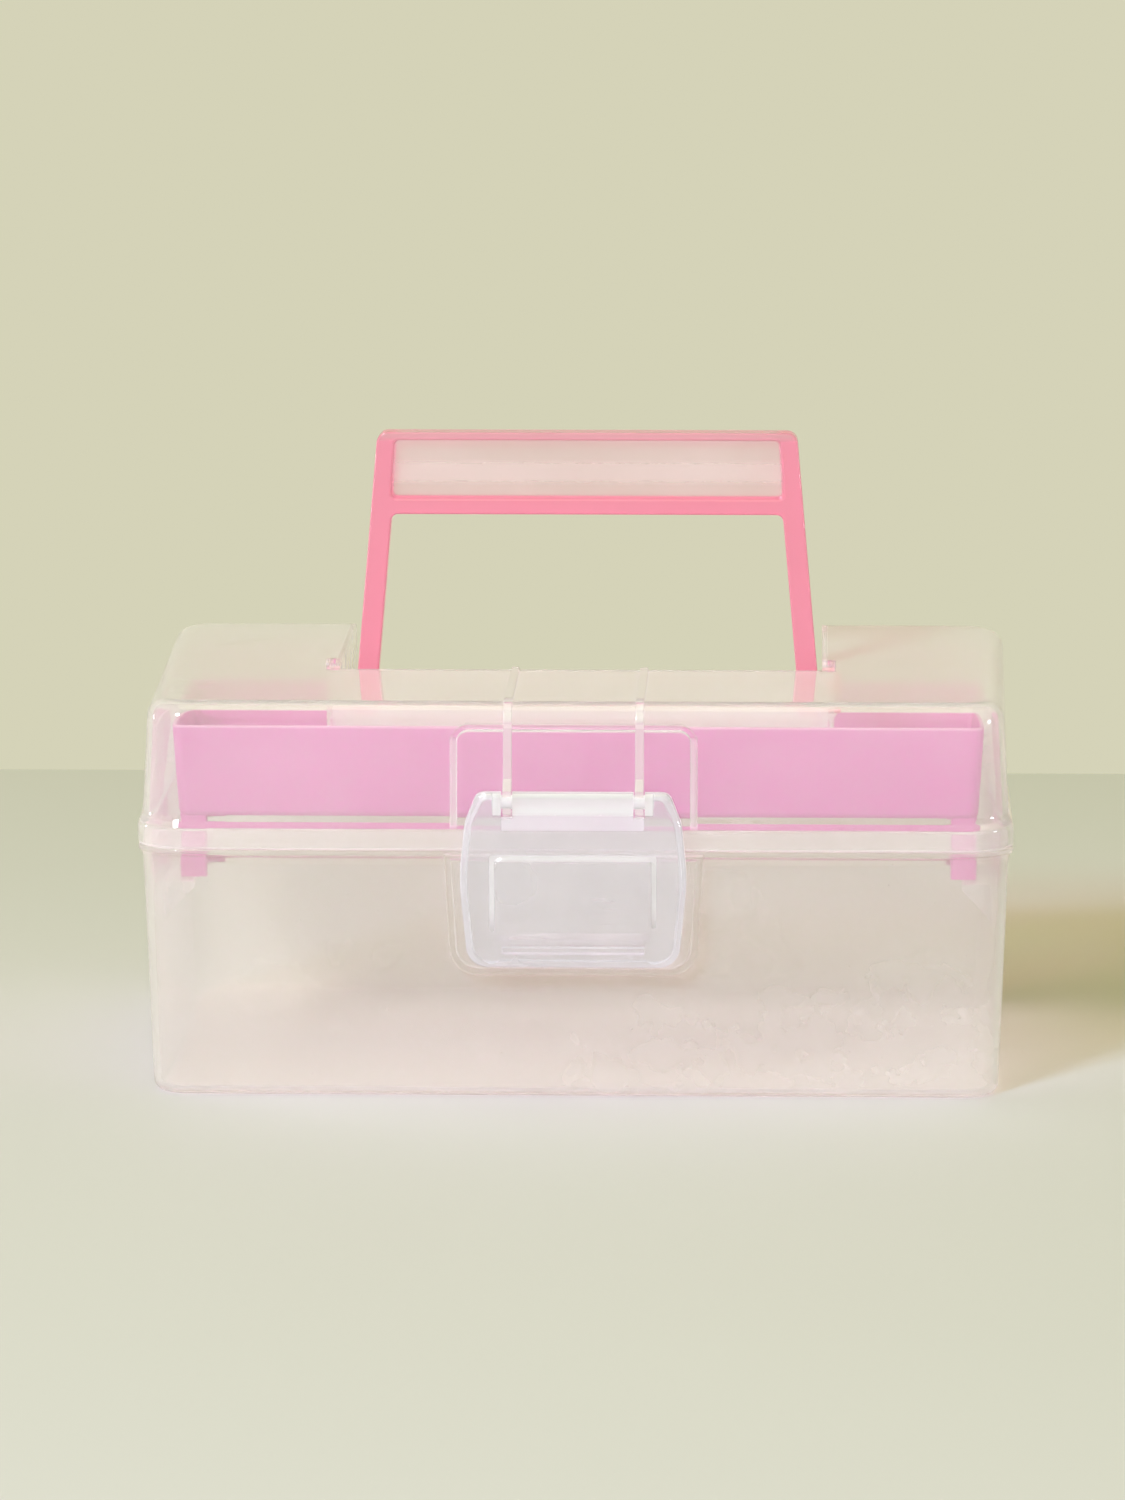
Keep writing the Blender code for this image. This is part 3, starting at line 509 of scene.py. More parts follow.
def window_ring(inset, y):
    """The pressed-out window pane of the latch, slightly barrel-sided."""
    foot, belly, waist, head = WINDOW_CORNERS
    corners = [(foot[0] - inset, foot[1] + inset, max(foot[2] - inset, 0.3)),
               (belly[0] - inset, *belly[1:]), (waist[0] - inset, *waist[1:]),
               (head[0] - inset, head[1] - inset, head[2] - inset)]
    mirrored = [(-u, v, radius) for u, v, radius in reversed(corners)]
    outline = rounded_polygon(mirrored[-1:] + corners + mirrored[:-1], 8)
    return [(u, y, v) for u, v in outline]


def build_latch(material):
    face, back = LATCH_FRONT_Y, LATCH_FRONT_Y + WALL
    inside = [(2.9, back), (2.0, back + 0.25), (1.6, back + 1.0), (1.5, LATCH_BACK_Y)]
    outside = [(0.25, LATCH_BACK_Y), (0.0, LATCH_BACK_Y - 0.25)]
    outside += [(inset, face + retreat) for inset, retreat in eased(1.5, 8)]
    latch = loft("latch_flap", [latch_ring(inset, y) for inset, y in inside + outside])
    add(latch, rod("latch_bar", LATCH_AXIS.y, LATCH_AXIS.z, LATCH_BAR_R, -LATCH_BAR_HALF, LATCH_BAR_HALF,
                   soft=1.6))
    web = [(face + 0.8, LATCH_AXIS.z), (face + 0.8, BAR_WEB_FOOT_Z), (back + 0.2, BAR_WEB_FOOT_Z),
           (back + 0.6, BAR_WEB_FOOT_Z + 0.6), (LATCH_AXIS.y + 1.0, LATCH_AXIS.z - 1.0)]
    add(latch, prism("bar_web", web, along_x, -BAR_WEB_HALF, BAR_WEB_HALF))
    for side in (-1, 1):
        low = side * FIN_X - FIN_SLOT / 2
        cut(latch, block("fin_slot", (low, face - 5, LATCH_AXIS.z - HOOK_R - 0.7),
                         (low + FIN_SLOT, LATCH_BACK_Y + 5, LATCH_TOP_Z + 3)))
    pivot_half = LATCH_BAR_HALF - 1.0
    add(latch, rod("latch_rod", LATCH_AXIS.y, LATCH_AXIS.z, LATCH_ROD_R, -pivot_half, pivot_half))

    add(latch, loft("window", [window_ring(0.0, face + 0.6), window_ring(0.0, face),
                               window_ring(0.5, face - 0.35), window_ring(1.1, face - 0.62),
                               window_ring(1.7, face - WINDOW_PROUD)]))
    cut(latch, loft("window_back", [window_ring(0.8, back + 0.4), window_ring(0.8, back),
                                    window_ring(1.3, back - 0.35), window_ring(2.0, back - 0.6),
                                    window_ring(2.6, back - WINDOW_PROUD)]))
    for side in (-1, 1):
        for z, radius in LATCH_EJECTORS:
            cut(latch, disc("ejector_mark", side * LATCH_EJECTOR_X, z, radius, back - 0.25, back + 0.7))
    lip = [(LATCH_BACK_Y + 0.2, CATCH_BOTTOM_Z - 2.2), (face + 0.9, CATCH_BOTTOM_Z - 2.6),
           (face + 0.9, CATCH_BOTTOM_Z - 0.6), (LATCH_BACK_Y + 0.2, CATCH_BOTTOM_Z - 0.6)]
    add(latch, prism("latch_lip", lip, along_x, -CATCH_HALF, CATCH_HALF))
    settle(latch, material, "latch", "latch_plastic", "front_latch")


# ---- handle
def handle_half_width(z):
    share = (z - HANDLE_LOW.z) / (HANDLE_HIGH.z - HANDLE_LOW.z)
    return HANDLE_HEEL_HALF + (HANDLE_TOP_HALF - HANDLE_HEEL_HALF) * share


def handle_outline(inset):
    """Front view of the handle: a tapered loop with open heels, inset all round."""
    top, heel, bar = HANDLE_HIGH.z - inset, HANDLE_LOW.z + inset, GRIP_BOTTOM_Z + inset

    def inner(z):
        return handle_half_width(z) - HANDLE_LEG + inset

    def outer(z):
        return handle_half_width(z) - inset

    right = [(inner(bar), bar, 2.2 + inset), (inner(heel), heel, 0.8 - inset * 0.5),
             (outer(heel), heel, 0.8 - inset * 0.5), (outer(top), top, 3.4 - inset)]
    left = [(-u, v, radius) for u, v, radius in reversed(right)]
    return rounded_polygon(right + left, 10)


def pocket_outline(inset):
    top, bottom = HANDLE_HIGH.z - GRIP_RIM - inset, GRIP_TOP_Z + inset
    low_half = handle_half_width(bottom) - 5.6 - inset
    high_half = handle_half_width(top) - 5.2 - inset
    return rounded_polygon([(-low_half, bottom, POCKET_ROUND), (low_half, bottom, POCKET_ROUND),
                            (high_half, top, POCKET_ROUND), (-high_half, top, POCKET_ROUND)], 8)


def shifted(outline, y):
    return [(u + HANDLE_SHIFT_X, y, v) for u, v in outline]


def build_handle(material):
    front, back = PIVOT.y - HANDLE_DEPTH / 2, PIVOT.y + HANDLE_DEPTH / 2
    edge = eased(0.7)
    rings = [(inset, front + depth) for inset, depth in edge[::-1]]
    rings += [(inset, back - depth) for inset, depth in edge]
    handle = loft("handle_loop", [shifted(handle_outline(inset), y) for inset, y in rings])
    heel_round(handle, front, back)

    for side, face in ((-1, front), (1, back)):
        web = PIVOT.y + side * GRIP_WEB / 2
        rings = [(-0.9, face + side * 1.0), (-0.5, face), (-0.15, face - side * 0.3),
                 (0.0, face - side * 0.7), (0.15, web + side * 0.6), (0.35, web + side * 0.2), (0.9, web)]
        cut(handle, loft("grip_pocket", [shifted(pocket_outline(inset), y) for inset, y in rings]))
    low = PIVOT.y - GRIP_WEB / 2 - 1.0
    for x in HANDLE_EJECTOR_X:
        cut(handle, disc("ejector_mark", x + HANDLE_SHIFT_X, HANDLE_EJECTOR_Z, HANDLE_EJECTOR_R, low,
                         low + 1.22))
    for side in (-1, 1):
        ends = sorted((side * (handle_half_width(PIVOT.z) - 2.0), side * PIVOT_END_X))
        add(handle, rod("handle_pin", PIVOT.y, PIVOT.z, PIVOT_R, ends[0] + HANDLE_SHIFT_X,
                        ends[1] + HANDLE_SHIFT_X, soft=0.5))
    settle(handle, material, "handle", "handle_plastic", "carry_handle")


def heel_round(handle, front, back):
    """Trim both heels to a half round, seen from the side, so that the handle can turn."""
    radius, heel = (back - front) / 2, HANDLE_LOW.z
    sweep = arc(PIVOT.y, heel + radius, radius, 180, 360, 24)
    keep_out = [(front - 2, heel + radius), (front - 2, heel - 2), (back + 2, heel - 2),
                (back + 2, heel + radius)]
    cut(handle, prism("heel_trim", keep_out + sweep[::-1], along_x, -90, 90))


# ---- tray
def tray_ring(inset, z):
    share = (z - TRAY_BOTTOM_Z) / (TRAY_HIGH.z - TRAY_BOTTOM_Z)
    half_x = TRAY_FLOOR_HALF_X + (TRAY_TOP_HALF_X - TRAY_FLOOR_HALF_X) * share - inset
    half_y = TRAY_FLOOR_HALF_Y + (TRAY_TOP_HALF_Y - TRAY_FLOOR_HALF_Y) * share - inset
    return [(u, v, z) for u, v in box_outline(-half_x, -half_y, half_x, half_y, TRAY_CORNER - inset, 14)]


def build_tray(material):
    rings = []
    for i in range(9):
        angle = math.radians(90 * i / 8)
        rings.append(tray_ring(TRAY_ROUND * (1 - math.sin(angle)),
                               TRAY_BOTTOM_Z + TRAY_ROUND * (1 - math.cos(angle))))
    top = TRAY_HIGH.z
    rings += [tray_ring(0.0, top - 0.5), tray_ring(0.15, top - 0.15), tray_ring(0.5, top),
              tray_ring(WALL - 0.5, top), tray_ring(WALL - 0.15, top - 0.15), tray_ring(WALL, top - 0.5)]
    floor_z = TRAY_BOTTOM_Z + WALL
    for i in range(7):
        angle = math.radians(90 * i / 6)
        rings.append(tray_ring(WALL + TRAY_INNER_ROUND * (1 - math.cos(angle)),
                               floor_z + TRAY_INNER_ROUND * (1 - math.sin(angle))))
    tray = loft("tray_moulding", rings)

    half, above = TRAY_NOTCH_HALF, TRAY_HIGH.z + 5
    notch = rounded_polygon([(-half, TRAY_NOTCH_Z, TRAY_NOTCH_ROUND), (half, TRAY_NOTCH_Z, TRAY_NOTCH_ROUND),
                             (half + 2, above, 0), (-half - 2, above, 0)], 12)
    cut(tray, prism("tray_notch", notch, along_y, 25.0, 50.0))
    for side in (-1, 1):
        outer_x, inner_x = TRAY_FLOOR_HALF_X - 0.3, TRAY_FLOOR_HALF_X - 0.3 - TRAY_FOOT_WIDTH
        half_y = TRAY_FLOOR_HALF_Y - 1.2
        low, high = sorted((side * inner_x, side * outer_x))
        foot = prism("tray_foot", box_outline(low, -half_y, high, half_y, 1.0, 6), along_z,
                     TRAY_LOW.z, TRAY_BOTTOM_Z + 1.0)
        low, high = sorted((side * (inner_x - 2), side * (outer_x - WALL)))
        cut(foot, block("tray_foot_hollow", (low, WALL - half_y, TRAY_LOW.z - 2),
                        (high, half_y - WALL, TRAY_BOTTOM_Z - 1.0)))
        add(tray, foot)
    settle(tray, material, "tray", "tray_plastic", "inner_tray")


# ---- hinge pins
def build_hinge_pin(name, material):
    """Drawn wire pin with chamfered ends and a peened head."""
    low, high = HINGE_PINS[name]
    profile = [(low.x, 0.75), (low.x + 0.15, 1.05), (low.x + 0.5, PIN_R), (low.x + 1.4, PIN_R),
               (low.x + 1.6, PIN_R - 0.06), (high.x - 0.5, PIN_R - 0.06), (high.x - 0.1, 0.9), (high.x, 0.7)]
    wire = turned(f"{name}_wire", HINGE.y, HINGE.z, profile, PIN_SIDES)
    settle(wire, material, "base", "pin_steel", name)


# ---- material nodes
class Nodes:
    """Short names for wiring a procedural material."""

    def __init__(self, name):
        self.material = bpy.data.materials.new(name)
        self.material.use_nodes = True
        self.tree = self.material.node_tree
        self.tree.nodes.clear()
        self.coords = self.tree.nodes.new("ShaderNodeTexCoord").outputs["Object"]

    def new(self, kind, **settings):
        node = self.tree.nodes.new(kind)
        for key, value in settings.items():
            setattr(node, key, value)
        return node

    def feed(self, socket, value):
        if hasattr(value, "is_output"):
            self.tree.links.new(value, socket)
        else:
            socket.default_value = value

    def stretched(self, scale, rotation=(0, 0, 0)):
        node = self.new("ShaderNodeMapping")
        self.feed(node.inputs["Vector"], self.coords)
        node.inputs["Scale"].default_value = scale
        node.inputs["Rotation"].default_value = rotation
        return node.outputs["Vector"]

    def noise(self, scale, detail, vector=None):
        node = self.new("ShaderNodeTexNoise")
        self.feed(node.inputs["Vector"], vector or self.coords)
        node.inputs["Scale"].default_value = scale
        node.inputs["Detail"].default_value = detail
        return node.outputs["Fac"]

    def specks(self, scale, low, high):
        """Sparse round specks: 1 at a few cell centres, 0 elsewhere."""
        node = self.new("ShaderNodeTexVoronoi")
        self.feed(node.inputs["Vector"], self.coords)
        node.inputs["Scale"].default_value = scale
        return self.remap(node.outputs["Distance"], low, high, 1.0, 0.0)

    def math(self, operation, a, b=0.0, clamp=False):
        node = self.new("ShaderNodeMath", operation=operation, use_clamp=clamp)
        self.feed(node.inputs[0], a)
        self.feed(node.inputs[1], b)
        return node.outputs[0]

    def times(self, a, b, clamp=False):
        return self.math("MULTIPLY", a, b, clamp)

    def plus(self, a, b):
        return self.math("ADD", a, b)

    def minus(self, a, b, clamp=False):
        return self.math("SUBTRACT", a, b, clamp)

    def remap(self, value, low, high, to_low=0.0, to_high=1.0):
        node = self.new("ShaderNodeMapRange", interpolation_type="SMOOTHSTEP")
        self.feed(node.inputs["Value"], value)
        sockets = ("From Min", "From Max", "To Min", "To Max")
        for socket, number in zip(sockets, (low, high, to_low, to_high)):
            node.inputs[socket].default_value = number
        return node.outputs[0]

    def axes(self):
        node = self.new("ShaderNodeSeparateXYZ")
        self.feed(node.inputs[0], self.coords)
        return node.outputs

    def inside(self, axis, low, high, soft):
        """1 between two places along an axis (millimetres), fading out over soft."""
        rise = self.remap(axis, (low - soft) * MM, (low + soft) * MM)
        fall = self.remap(axis, (high - soft) * MM, (high + soft) * MM, 1.0, 0.0)
        return self.times(rise, fall)

    def scratches(self, angle, scale, keep):
        """Fine hairlines along one direction, broken up by a broad patchy mask."""
        along = self.stretched((scale * 0.03, scale * 0.03, scale), (0.0, angle, 0.0))
        near = self.math("ABSOLUTE", self.minus(self.noise(1.0, 1.0, along), 0.5))
        thin = self.remap(near, 0.0, 0.006, 1.0, 0.0)
        patch = self.remap(self.noise(28.0, 1.0), keep, keep + 0.08)
        return self.times(thin, patch)

    def blend(self, factor, a, b):
        node = self.new("ShaderNodeMix", data_type="RGBA")
        self.feed(node.inputs["Factor"], factor)
        self.feed(node.inputs[6], a)
        self.feed(node.inputs[7], b)
        return node.outputs[2]

    def edge(self, sharpness):
        """Rises from 0 face-on to 1 edge-on, where a ray runs longest inside the milky wall."""
        node = self.new("ShaderNodeLayerWeight")
        node.inputs["Blend"].default_value = 0.5
        return self.math("POWER", node.outputs["Facing"], sharpness)

    def bump(self, *layers):
        """Chain (height, strength, distance in millimetres) layers into one normal."""
        normal = None
        for height, strength, distance in layers:
            node = self.new("ShaderNodeBump")
            node.inputs["Strength"].default_value = strength
            node.inputs["Distance"].default_value = distance * MM
            self.feed(node.inputs["Height"], height)
            if normal is not None:
                self.feed(node.inputs["Normal"], normal)
            normal = node.outputs["Normal"]
        return normal

    def finish(self, shader, lamp_tint=None, absorption=None, glow=None, glow_share=0.0):
        """Output; lamp_tint is what each face passes of a lamp's light, glow scatters light from behind."""
        output = self.new("ShaderNodeOutputMaterial")
        surface = shader.outputs[0]
        if glow is not None:
            back = self.new("ShaderNodeBsdfTranslucent")
            back.inputs["Color"].default_value = (*glow, 1.0)
            mix = self.new("ShaderNodeMixShader")
            mix.inputs[0].default_value = glow_share
            self.feed(mix.inputs[1], surface)
            self.feed(mix.inputs[2], back.outputs[0])
            surface = mix.outputs[0]
        if lamp_tint is not None:
            clear = self.new("ShaderNodeBsdfTransparent")
            clear.inputs["Color"].default_value = (*lamp_tint, 1.0)
            path = self.new("ShaderNodeLightPath")
            mix = self.new("ShaderNodeMixShader")
            self.feed(mix.inputs[0], path.outputs["Is Shadow Ray"])
            self.feed(mix.inputs[1], surface)
            self.feed(mix.inputs[2], clear.outputs[0])
            surface = mix.outputs[0]
        self.feed(output.inputs["Surface"], surface)
        if absorption is not None:
            colour, density = absorption
            volume = self.new("ShaderNodeVolumeAbsorption")
            volume.inputs["Color"].default_value = (*colour, 1.0)
            volume.inputs["Density"].default_value = density
            self.feed(output.inputs["Volume"], volume.outputs[0])
        return self.material


# ---- materials
PLASTIC_IOR = 1.49
FROST_TONE = (0.80, 0.78, 0.79, 1)
AHEAD_Y, BEHIND_Y = -95.0, 95.0         # in front of and behind the whole part
FIN_FROST_Z, FIN_TOP_FROST_Z = (84.0, 116.5), (116.5, 125.0)
BAR_FROST_Z, BAR_WEB_FROST_Z = (87.2, 93.6), (BAR_WEB_FOOT_Z, 87.4)
GRIP_WEB_X, GRIP_WEB_Z, GRIP_BAND_Z = (-57.0, 61.0), (170.8, 188.0), (175.0, 181.0)


def plastic(nodes):
    shader = nodes.new("ShaderNodeBsdfPrincipled")
    shader.inputs["IOR"].default_value = PLASTIC_IOR
    return shader


def lid_frost(n, x, y, z):
    """Duller places of the lid: fins, pad borders, handle trough and the parting edge."""
    width = n.math("ABSOLUTE", x)
    fin_height = n.plus(n.inside(z, *FIN_FROST_Z, 0.8), n.times(n.inside(z, *FIN_TOP_FROST_Z, 0.8), 0.3))
    fins = n.times(n.inside(width, FIN_X - 1.3, FIN_X + 1.3, 0.12), fin_height)
    fins = n.times(fins, n.inside(y, AHEAD_Y, TROUGH_FRONT_Y - 2.0, 0.3))
    front = n.inside(y, AHEAD_Y, -76.0, 0.5)
    sides = n.times(n.inside(width, LID_PAD_HALF - 1.9, LID_PAD_HALF + 0.2, 0.15),
                    n.inside(z, 82.0, LID_PAD_TOP_Z - 4.0, 1.5))
    arch = n.times(n.inside(width, -1.0, LID_PAD_HALF - 4.0, 1.0),
                   n.inside(z, LID_PAD_TOP_Z - 1.0, LID_PAD_TOP_Z + 0.2, 0.1))
    pad = n.times(n.plus(sides, n.times(arch, 0.5)), front)
    trough = n.times(n.inside(width, -1.0, TROUGH_HALF_X + TROUGH_WALL + 0.2, 0.2),
                     n.inside(y, TROUGH_FRONT_Y - TROUGH_WALL - 0.2, BEHIND_Y, 0.2))
    trough = n.times(trough, n.inside(z, 90.0, LID_TOP_Z - 0.3, 0.3))
    edge = n.inside(z, PART_Z + 0.1, PART_Z + 0.7, 0.1)
    total = n.plus(n.times(fins, 0.24), n.times(pad, 0.20))
    total = n.plus(total, n.times(trough, 0.22))
    return n.plus(total, n.times(edge, 0.22))


def base_frost(n, x, y, z):
    """Duller places of the base: the rim flange and the foot edge."""
    rim = n.inside(z, PART_Z - 1.2, PART_Z - 0.2, 0.15)
    foot = n.inside(z, -1.0, 0.9, 0.3)
    return n.plus(n.times(rim, 0.06), n.times(foot, 0.20))


def clear_shell_material(name, milk, gloss, tone, frost_map):
    """Natural polypropylene: milky, faintly pink, with flow marks and dust."""
    n = Nodes(name)
    shader = plastic(n)
    x, y, z = n.axes()
    flow = n.noise(9.0, 3.0, n.stretched((1.0, 1.0, 2.2)))
    cloud = n.noise(90.0, 3.0)
    dust = n.specks(260.0, 0.03, 0.06)
    haze = n.plus(n.remap(flow, 0.3, 0.7, -0.015, 0.015), n.remap(cloud, 0.35, 0.65, -0.006, 0.006))
    marks = n.times(dust, 0.06)
    frost = frost_map(n, x, y, z)
    rim_light = n.times(n.edge(5.0), 0.25)
    loss = n.plus(n.plus(haze, marks), n.plus(frost, rim_light))
    n.feed(shader.inputs["Transmission Weight"], n.minus(1.0 - milk, loss, clamp=True))
    lighter = tuple(channel + 0.012 for channel in tone)
    clean = n.blend(n.remap(flow, 0.3, 0.7), (*tone, 1), (*lighter, 1))
    n.feed(shader.inputs["Base Color"], n.blend(n.times(frost, 2.5, clamp=True), clean, FROST_TONE))
    rough = n.plus(n.remap(cloud, 0.35, 0.65, gloss - 0.01, gloss + 0.01),
                   n.plus(n.times(marks, 0.2), n.times(frost, 0.4)))
    n.feed(shader.inputs["Roughness"], rough)
    n.feed(shader.inputs["Normal"], n.bump((flow, 0.04, 0.6), (cloud, 0.008, 0.04)))
    return n.finish(shader, lamp_tint=(0.85, 0.79, 0.73), glow=(0.97, 0.92, 0.92), glow_share=0.08)


def latch_material():
    """Clearer polypropylene with frosted pivot bar, skirt and window border, and fine hairlines."""
    n = Nodes("latch_translucent")
    shader = plastic(n)
    x, y, z = n.axes()
    flow = n.noise(16.0, 3.0)
    cloud = n.noise(90.0, 4.0)
    hair = n.scratches(0.4, 420.0, 0.57)
    bar_half, centre_half = LATCH_BAR_HALF - 0.4, WINDOW_HALF - 1.4
    bar = n.times(n.inside(x, -bar_half, bar_half, 0.25), n.inside(z, *BAR_FROST_Z, 0.25))
    web = n.times(n.inside(x, -BAR_WEB_HALF, BAR_WEB_HALF, 0.2), n.inside(z, *BAR_WEB_FROST_Z, 0.2))
    pane = n.times(n.inside(x, -WINDOW_HALF, WINDOW_HALF, 0.15),
                   n.inside(z, WINDOW_FOOT_Z, WINDOW_TOP_Z + 0.2, 0.15))
    centre = n.times(n.inside(x, -centre_half, centre_half, 0.25),
                     n.inside(z, WINDOW_FOOT_Z - 3.4, WINDOW_TOP_Z - 1.6, 0.25))
    border = n.times(n.minus(pane, n.times(pane, centre)),
                     n.inside(z, WINDOW_FOOT_Z + 6.6, WINDOW_TOP_Z + 3.0, 5.0))
    skirt = n.inside(y, LATCH_FRONT_Y + 1.8, LATCH_BACK_Y + 1.0, 0.2)
    bar = n.plus(bar, n.times(n.minus(1.0, bar), n.times(skirt, 0.6)))
    frost = n.plus(n.plus(n.times(bar, 0.34), n.times(web, 0.12)),
                   n.plus(n.times(border, 0.20), n.times(n.edge(4.0), 0.3)))
    clear = n.minus(n.minus(n.remap(flow, 0.3, 0.7, 0.76, 0.81), frost), n.times(hair, 0.03), clamp=True)
    n.feed(shader.inputs["Transmission Weight"], clear)
    n.feed(shader.inputs["Base Color"],
           n.blend(n.remap(cloud, 0.3, 0.7), (0.80, 0.80, 0.83, 1), (0.825, 0.825, 0.85, 1)))
    rough = n.plus(n.remap(cloud, 0.35, 0.65, 0.07, 0.12), n.times(frost, 0.45))
    n.feed(shader.inputs["Roughness"], rough)
    n.feed(shader.inputs["Normal"], n.bump((flow, 0.05, 0.4), (cloud, 0.010, 0.04), (hair, 0.03, 0.01)))
    return n.finish(shader, lamp_tint=(0.88, 0.84, 0.84), glow=(0.92, 0.89, 0.92), glow_share=0.06)


def handle_material():
    """Pink tinted clear plastic: colour builds up with thickness; the grip's web has a fine grain; the top
    rim has a painted highlight.
    """
    n = Nodes("handle_tinted")
    shader = plastic(n)
    x, y, z = n.axes()
    flow = n.noise(20.0, 3.0)
    cloud = n.noise(120.0, 4.0)
    web = n.times(n.inside(x, *GRIP_WEB_X, 0.4), n.inside(z, *GRIP_WEB_Z, 0.3))
    web = n.times(web, n.inside(y, PIVOT.y - 1.6, PIVOT.y + 1.6, 0.3))
    band = n.times(web, n.inside(z, *GRIP_BAND_Z, 1.2))
    grain = n.noise(900.0, 2.0)
    rim = n.inside(z, HANDLE_HIGH.z - GRIP_RIM, HANDLE_HIGH.z + 1.0, 0.3)
    pink = n.blend(n.remap(flow, 0.3, 0.7), (0.84, 0.36, 0.48, 1), (0.87, 0.40, 0.52, 1))
    # painted highlight: the grip's top rim is painted paler here, and made clearer below, for the light its
    # top edge catches
    pink = n.blend(n.times(rim, 0.55), pink, (0.84, 0.74, 0.74, 1))
    n.feed(shader.inputs["Base Color"], n.blend(web, pink, (0.84, 0.84, 0.80, 1)))
    clear = n.minus(n.plus(n.remap(flow, 0.3, 0.7, 0.42, 0.50), n.times(web, 0.30)), n.times(band, 0.12))
    clear = n.plus(clear, n.times(rim, 0.25))
    n.feed(shader.inputs["Transmission Weight"], clear)
    rough = n.plus(n.remap(cloud, 0.35, 0.65, 0.10, 0.16), n.times(band, 0.22))
    n.feed(shader.inputs["Roughness"], rough)
    height = n.times(grain, n.plus(n.times(band, 0.85), 0.1))
    n.feed(shader.inputs["Normal"], n.bump((flow, 0.10, 0.4), (cloud, 0.05, 0.06), (height, 0.5, 0.12)))
    return n.finish(shader, lamp_tint=(0.90, 0.62, 0.72), glow=(1.0, 0.45, 0.62), glow_share=0.12,
                    absorption=((0.99, 0.40, 0.85), 30.0))


def tray_material():
    """Orchid pink translucent tray with flow clouds and a painted highlight along its rim."""
    n = Nodes("tray_tinted")
    shader = plastic(n)
    z = n.axes()["Z"]
    flow = n.noise(7.0, 3.0, n.stretched((1.0, 1.0, 1.8)))
    cloud = n.noise(60.0, 4.0)
    # painted highlight: the top 0.7 mm of the rim is painted a paler pink, for the light that the lip
    # catches
    rim = n.inside(z, TRAY_HIGH.z - 0.7, TRAY_HIGH.z + 2, 0.2)
    tone = n.blend(n.remap(flow, 0.3, 0.7), (0.66, 0.120, 0.48, 1), (0.70, 0.155, 0.53, 1))
    n.feed(shader.inputs["Base Color"], n.blend(n.times(rim, 0.5), tone, (0.97, 0.70, 0.86, 1)))
    n.feed(shader.inputs["Transmission Weight"], n.remap(flow, 0.3, 0.7, 0.26, 0.34))
    n.feed(shader.inputs["Roughness"], n.remap(cloud, 0.35, 0.65, 0.18, 0.26))
    n.feed(shader.inputs["Normal"], n.bump((flow, 0.15, 0.8), (cloud, 0.06, 0.08)))
    return n.finish(shader, lamp_tint=(0.55, 0.38, 0.48), glow=(0.95, 0.34, 0.66), glow_share=0.14)


def steel_material():
    """Drawn steel wire: fine lines along the pin and a little tarnish."""
    n = Nodes("pin_drawn_steel")
    shader = n.new("ShaderNodeBsdfPrincipled")
    shader.inputs["Metallic"].default_value = 1.0
    lines = n.noise(1.0, 3.0, n.stretched((60.0, 4000.0, 4000.0)))
    stain = n.noise(500.0, 4.0)
    n.feed(shader.inputs["Base Color"],
           n.blend(n.remap(stain, 0.35, 0.7), (0.62, 0.62, 0.64, 1), (0.45, 0.43, 0.41, 1)))
    n.feed(shader.inputs["Roughness"], n.remap(lines, 0.3, 0.7, 0.22, 0.42))
    n.feed(shader.inputs["Normal"], n.bump((lines, 0.3, 0.02)))
    return n.finish(shader)


# ---- stage
TABLE_REACH = 3.0                       # metres from the part to the table's other three edges
TABLE_FAR_Y = 0.469                     # where the table top ends in front of the wall
TABLE_Z = -0.0002                       # a hair under the base's bottom, so that the two never coincide
TABLE_COLOUR = (0.655, 0.635, 0.69)
WALL_COLOUR = (0.665, 0.650, 0.480)
SKY_COLOUR = (0.34, 0.35, 0.08)


def build_table():
    bm = bmesh.new()
    corners = [(-TABLE_REACH, -TABLE_REACH, TABLE_Z), (TABLE_REACH, -TABLE_REACH, TABLE_Z),
               (TABLE_REACH, TABLE_FAR_Y, TABLE_Z), (-TABLE_REACH, TABLE_FAR_Y, TABLE_Z)]
    bm.faces.new([bm.verts.new(corner) for corner in corners])
    mesh = bpy.data.meshes.new("table_top")
    bm.to_mesh(mesh)
    bm.free()
    table = bpy.data.objects.new("table_top", mesh)
    bpy.context.scene.collection.objects.link(table)
    n = Nodes("painted_table")
    shader = n.new("ShaderNodeBsdfPrincipled")
    broad = n.noise(2.5, 3.0)
    n.feed(shader.inputs["Base Color"],
           n.blend(n.remap(broad, 0.3, 0.7), (*TABLE_COLOUR, 1),
                   tuple(c * 1.015 for c in TABLE_COLOUR) + (1,)))
    shader.inputs["Roughness"].default_value = 0.6
    shader.inputs["Specular IOR Level"].default_value = 0.2
    n.feed(shader.inputs["Normal"], n.bump((n.noise(700.0, 3.0), 0.05, 0.05)))
    mesh.materials.append(n.finish(shader))


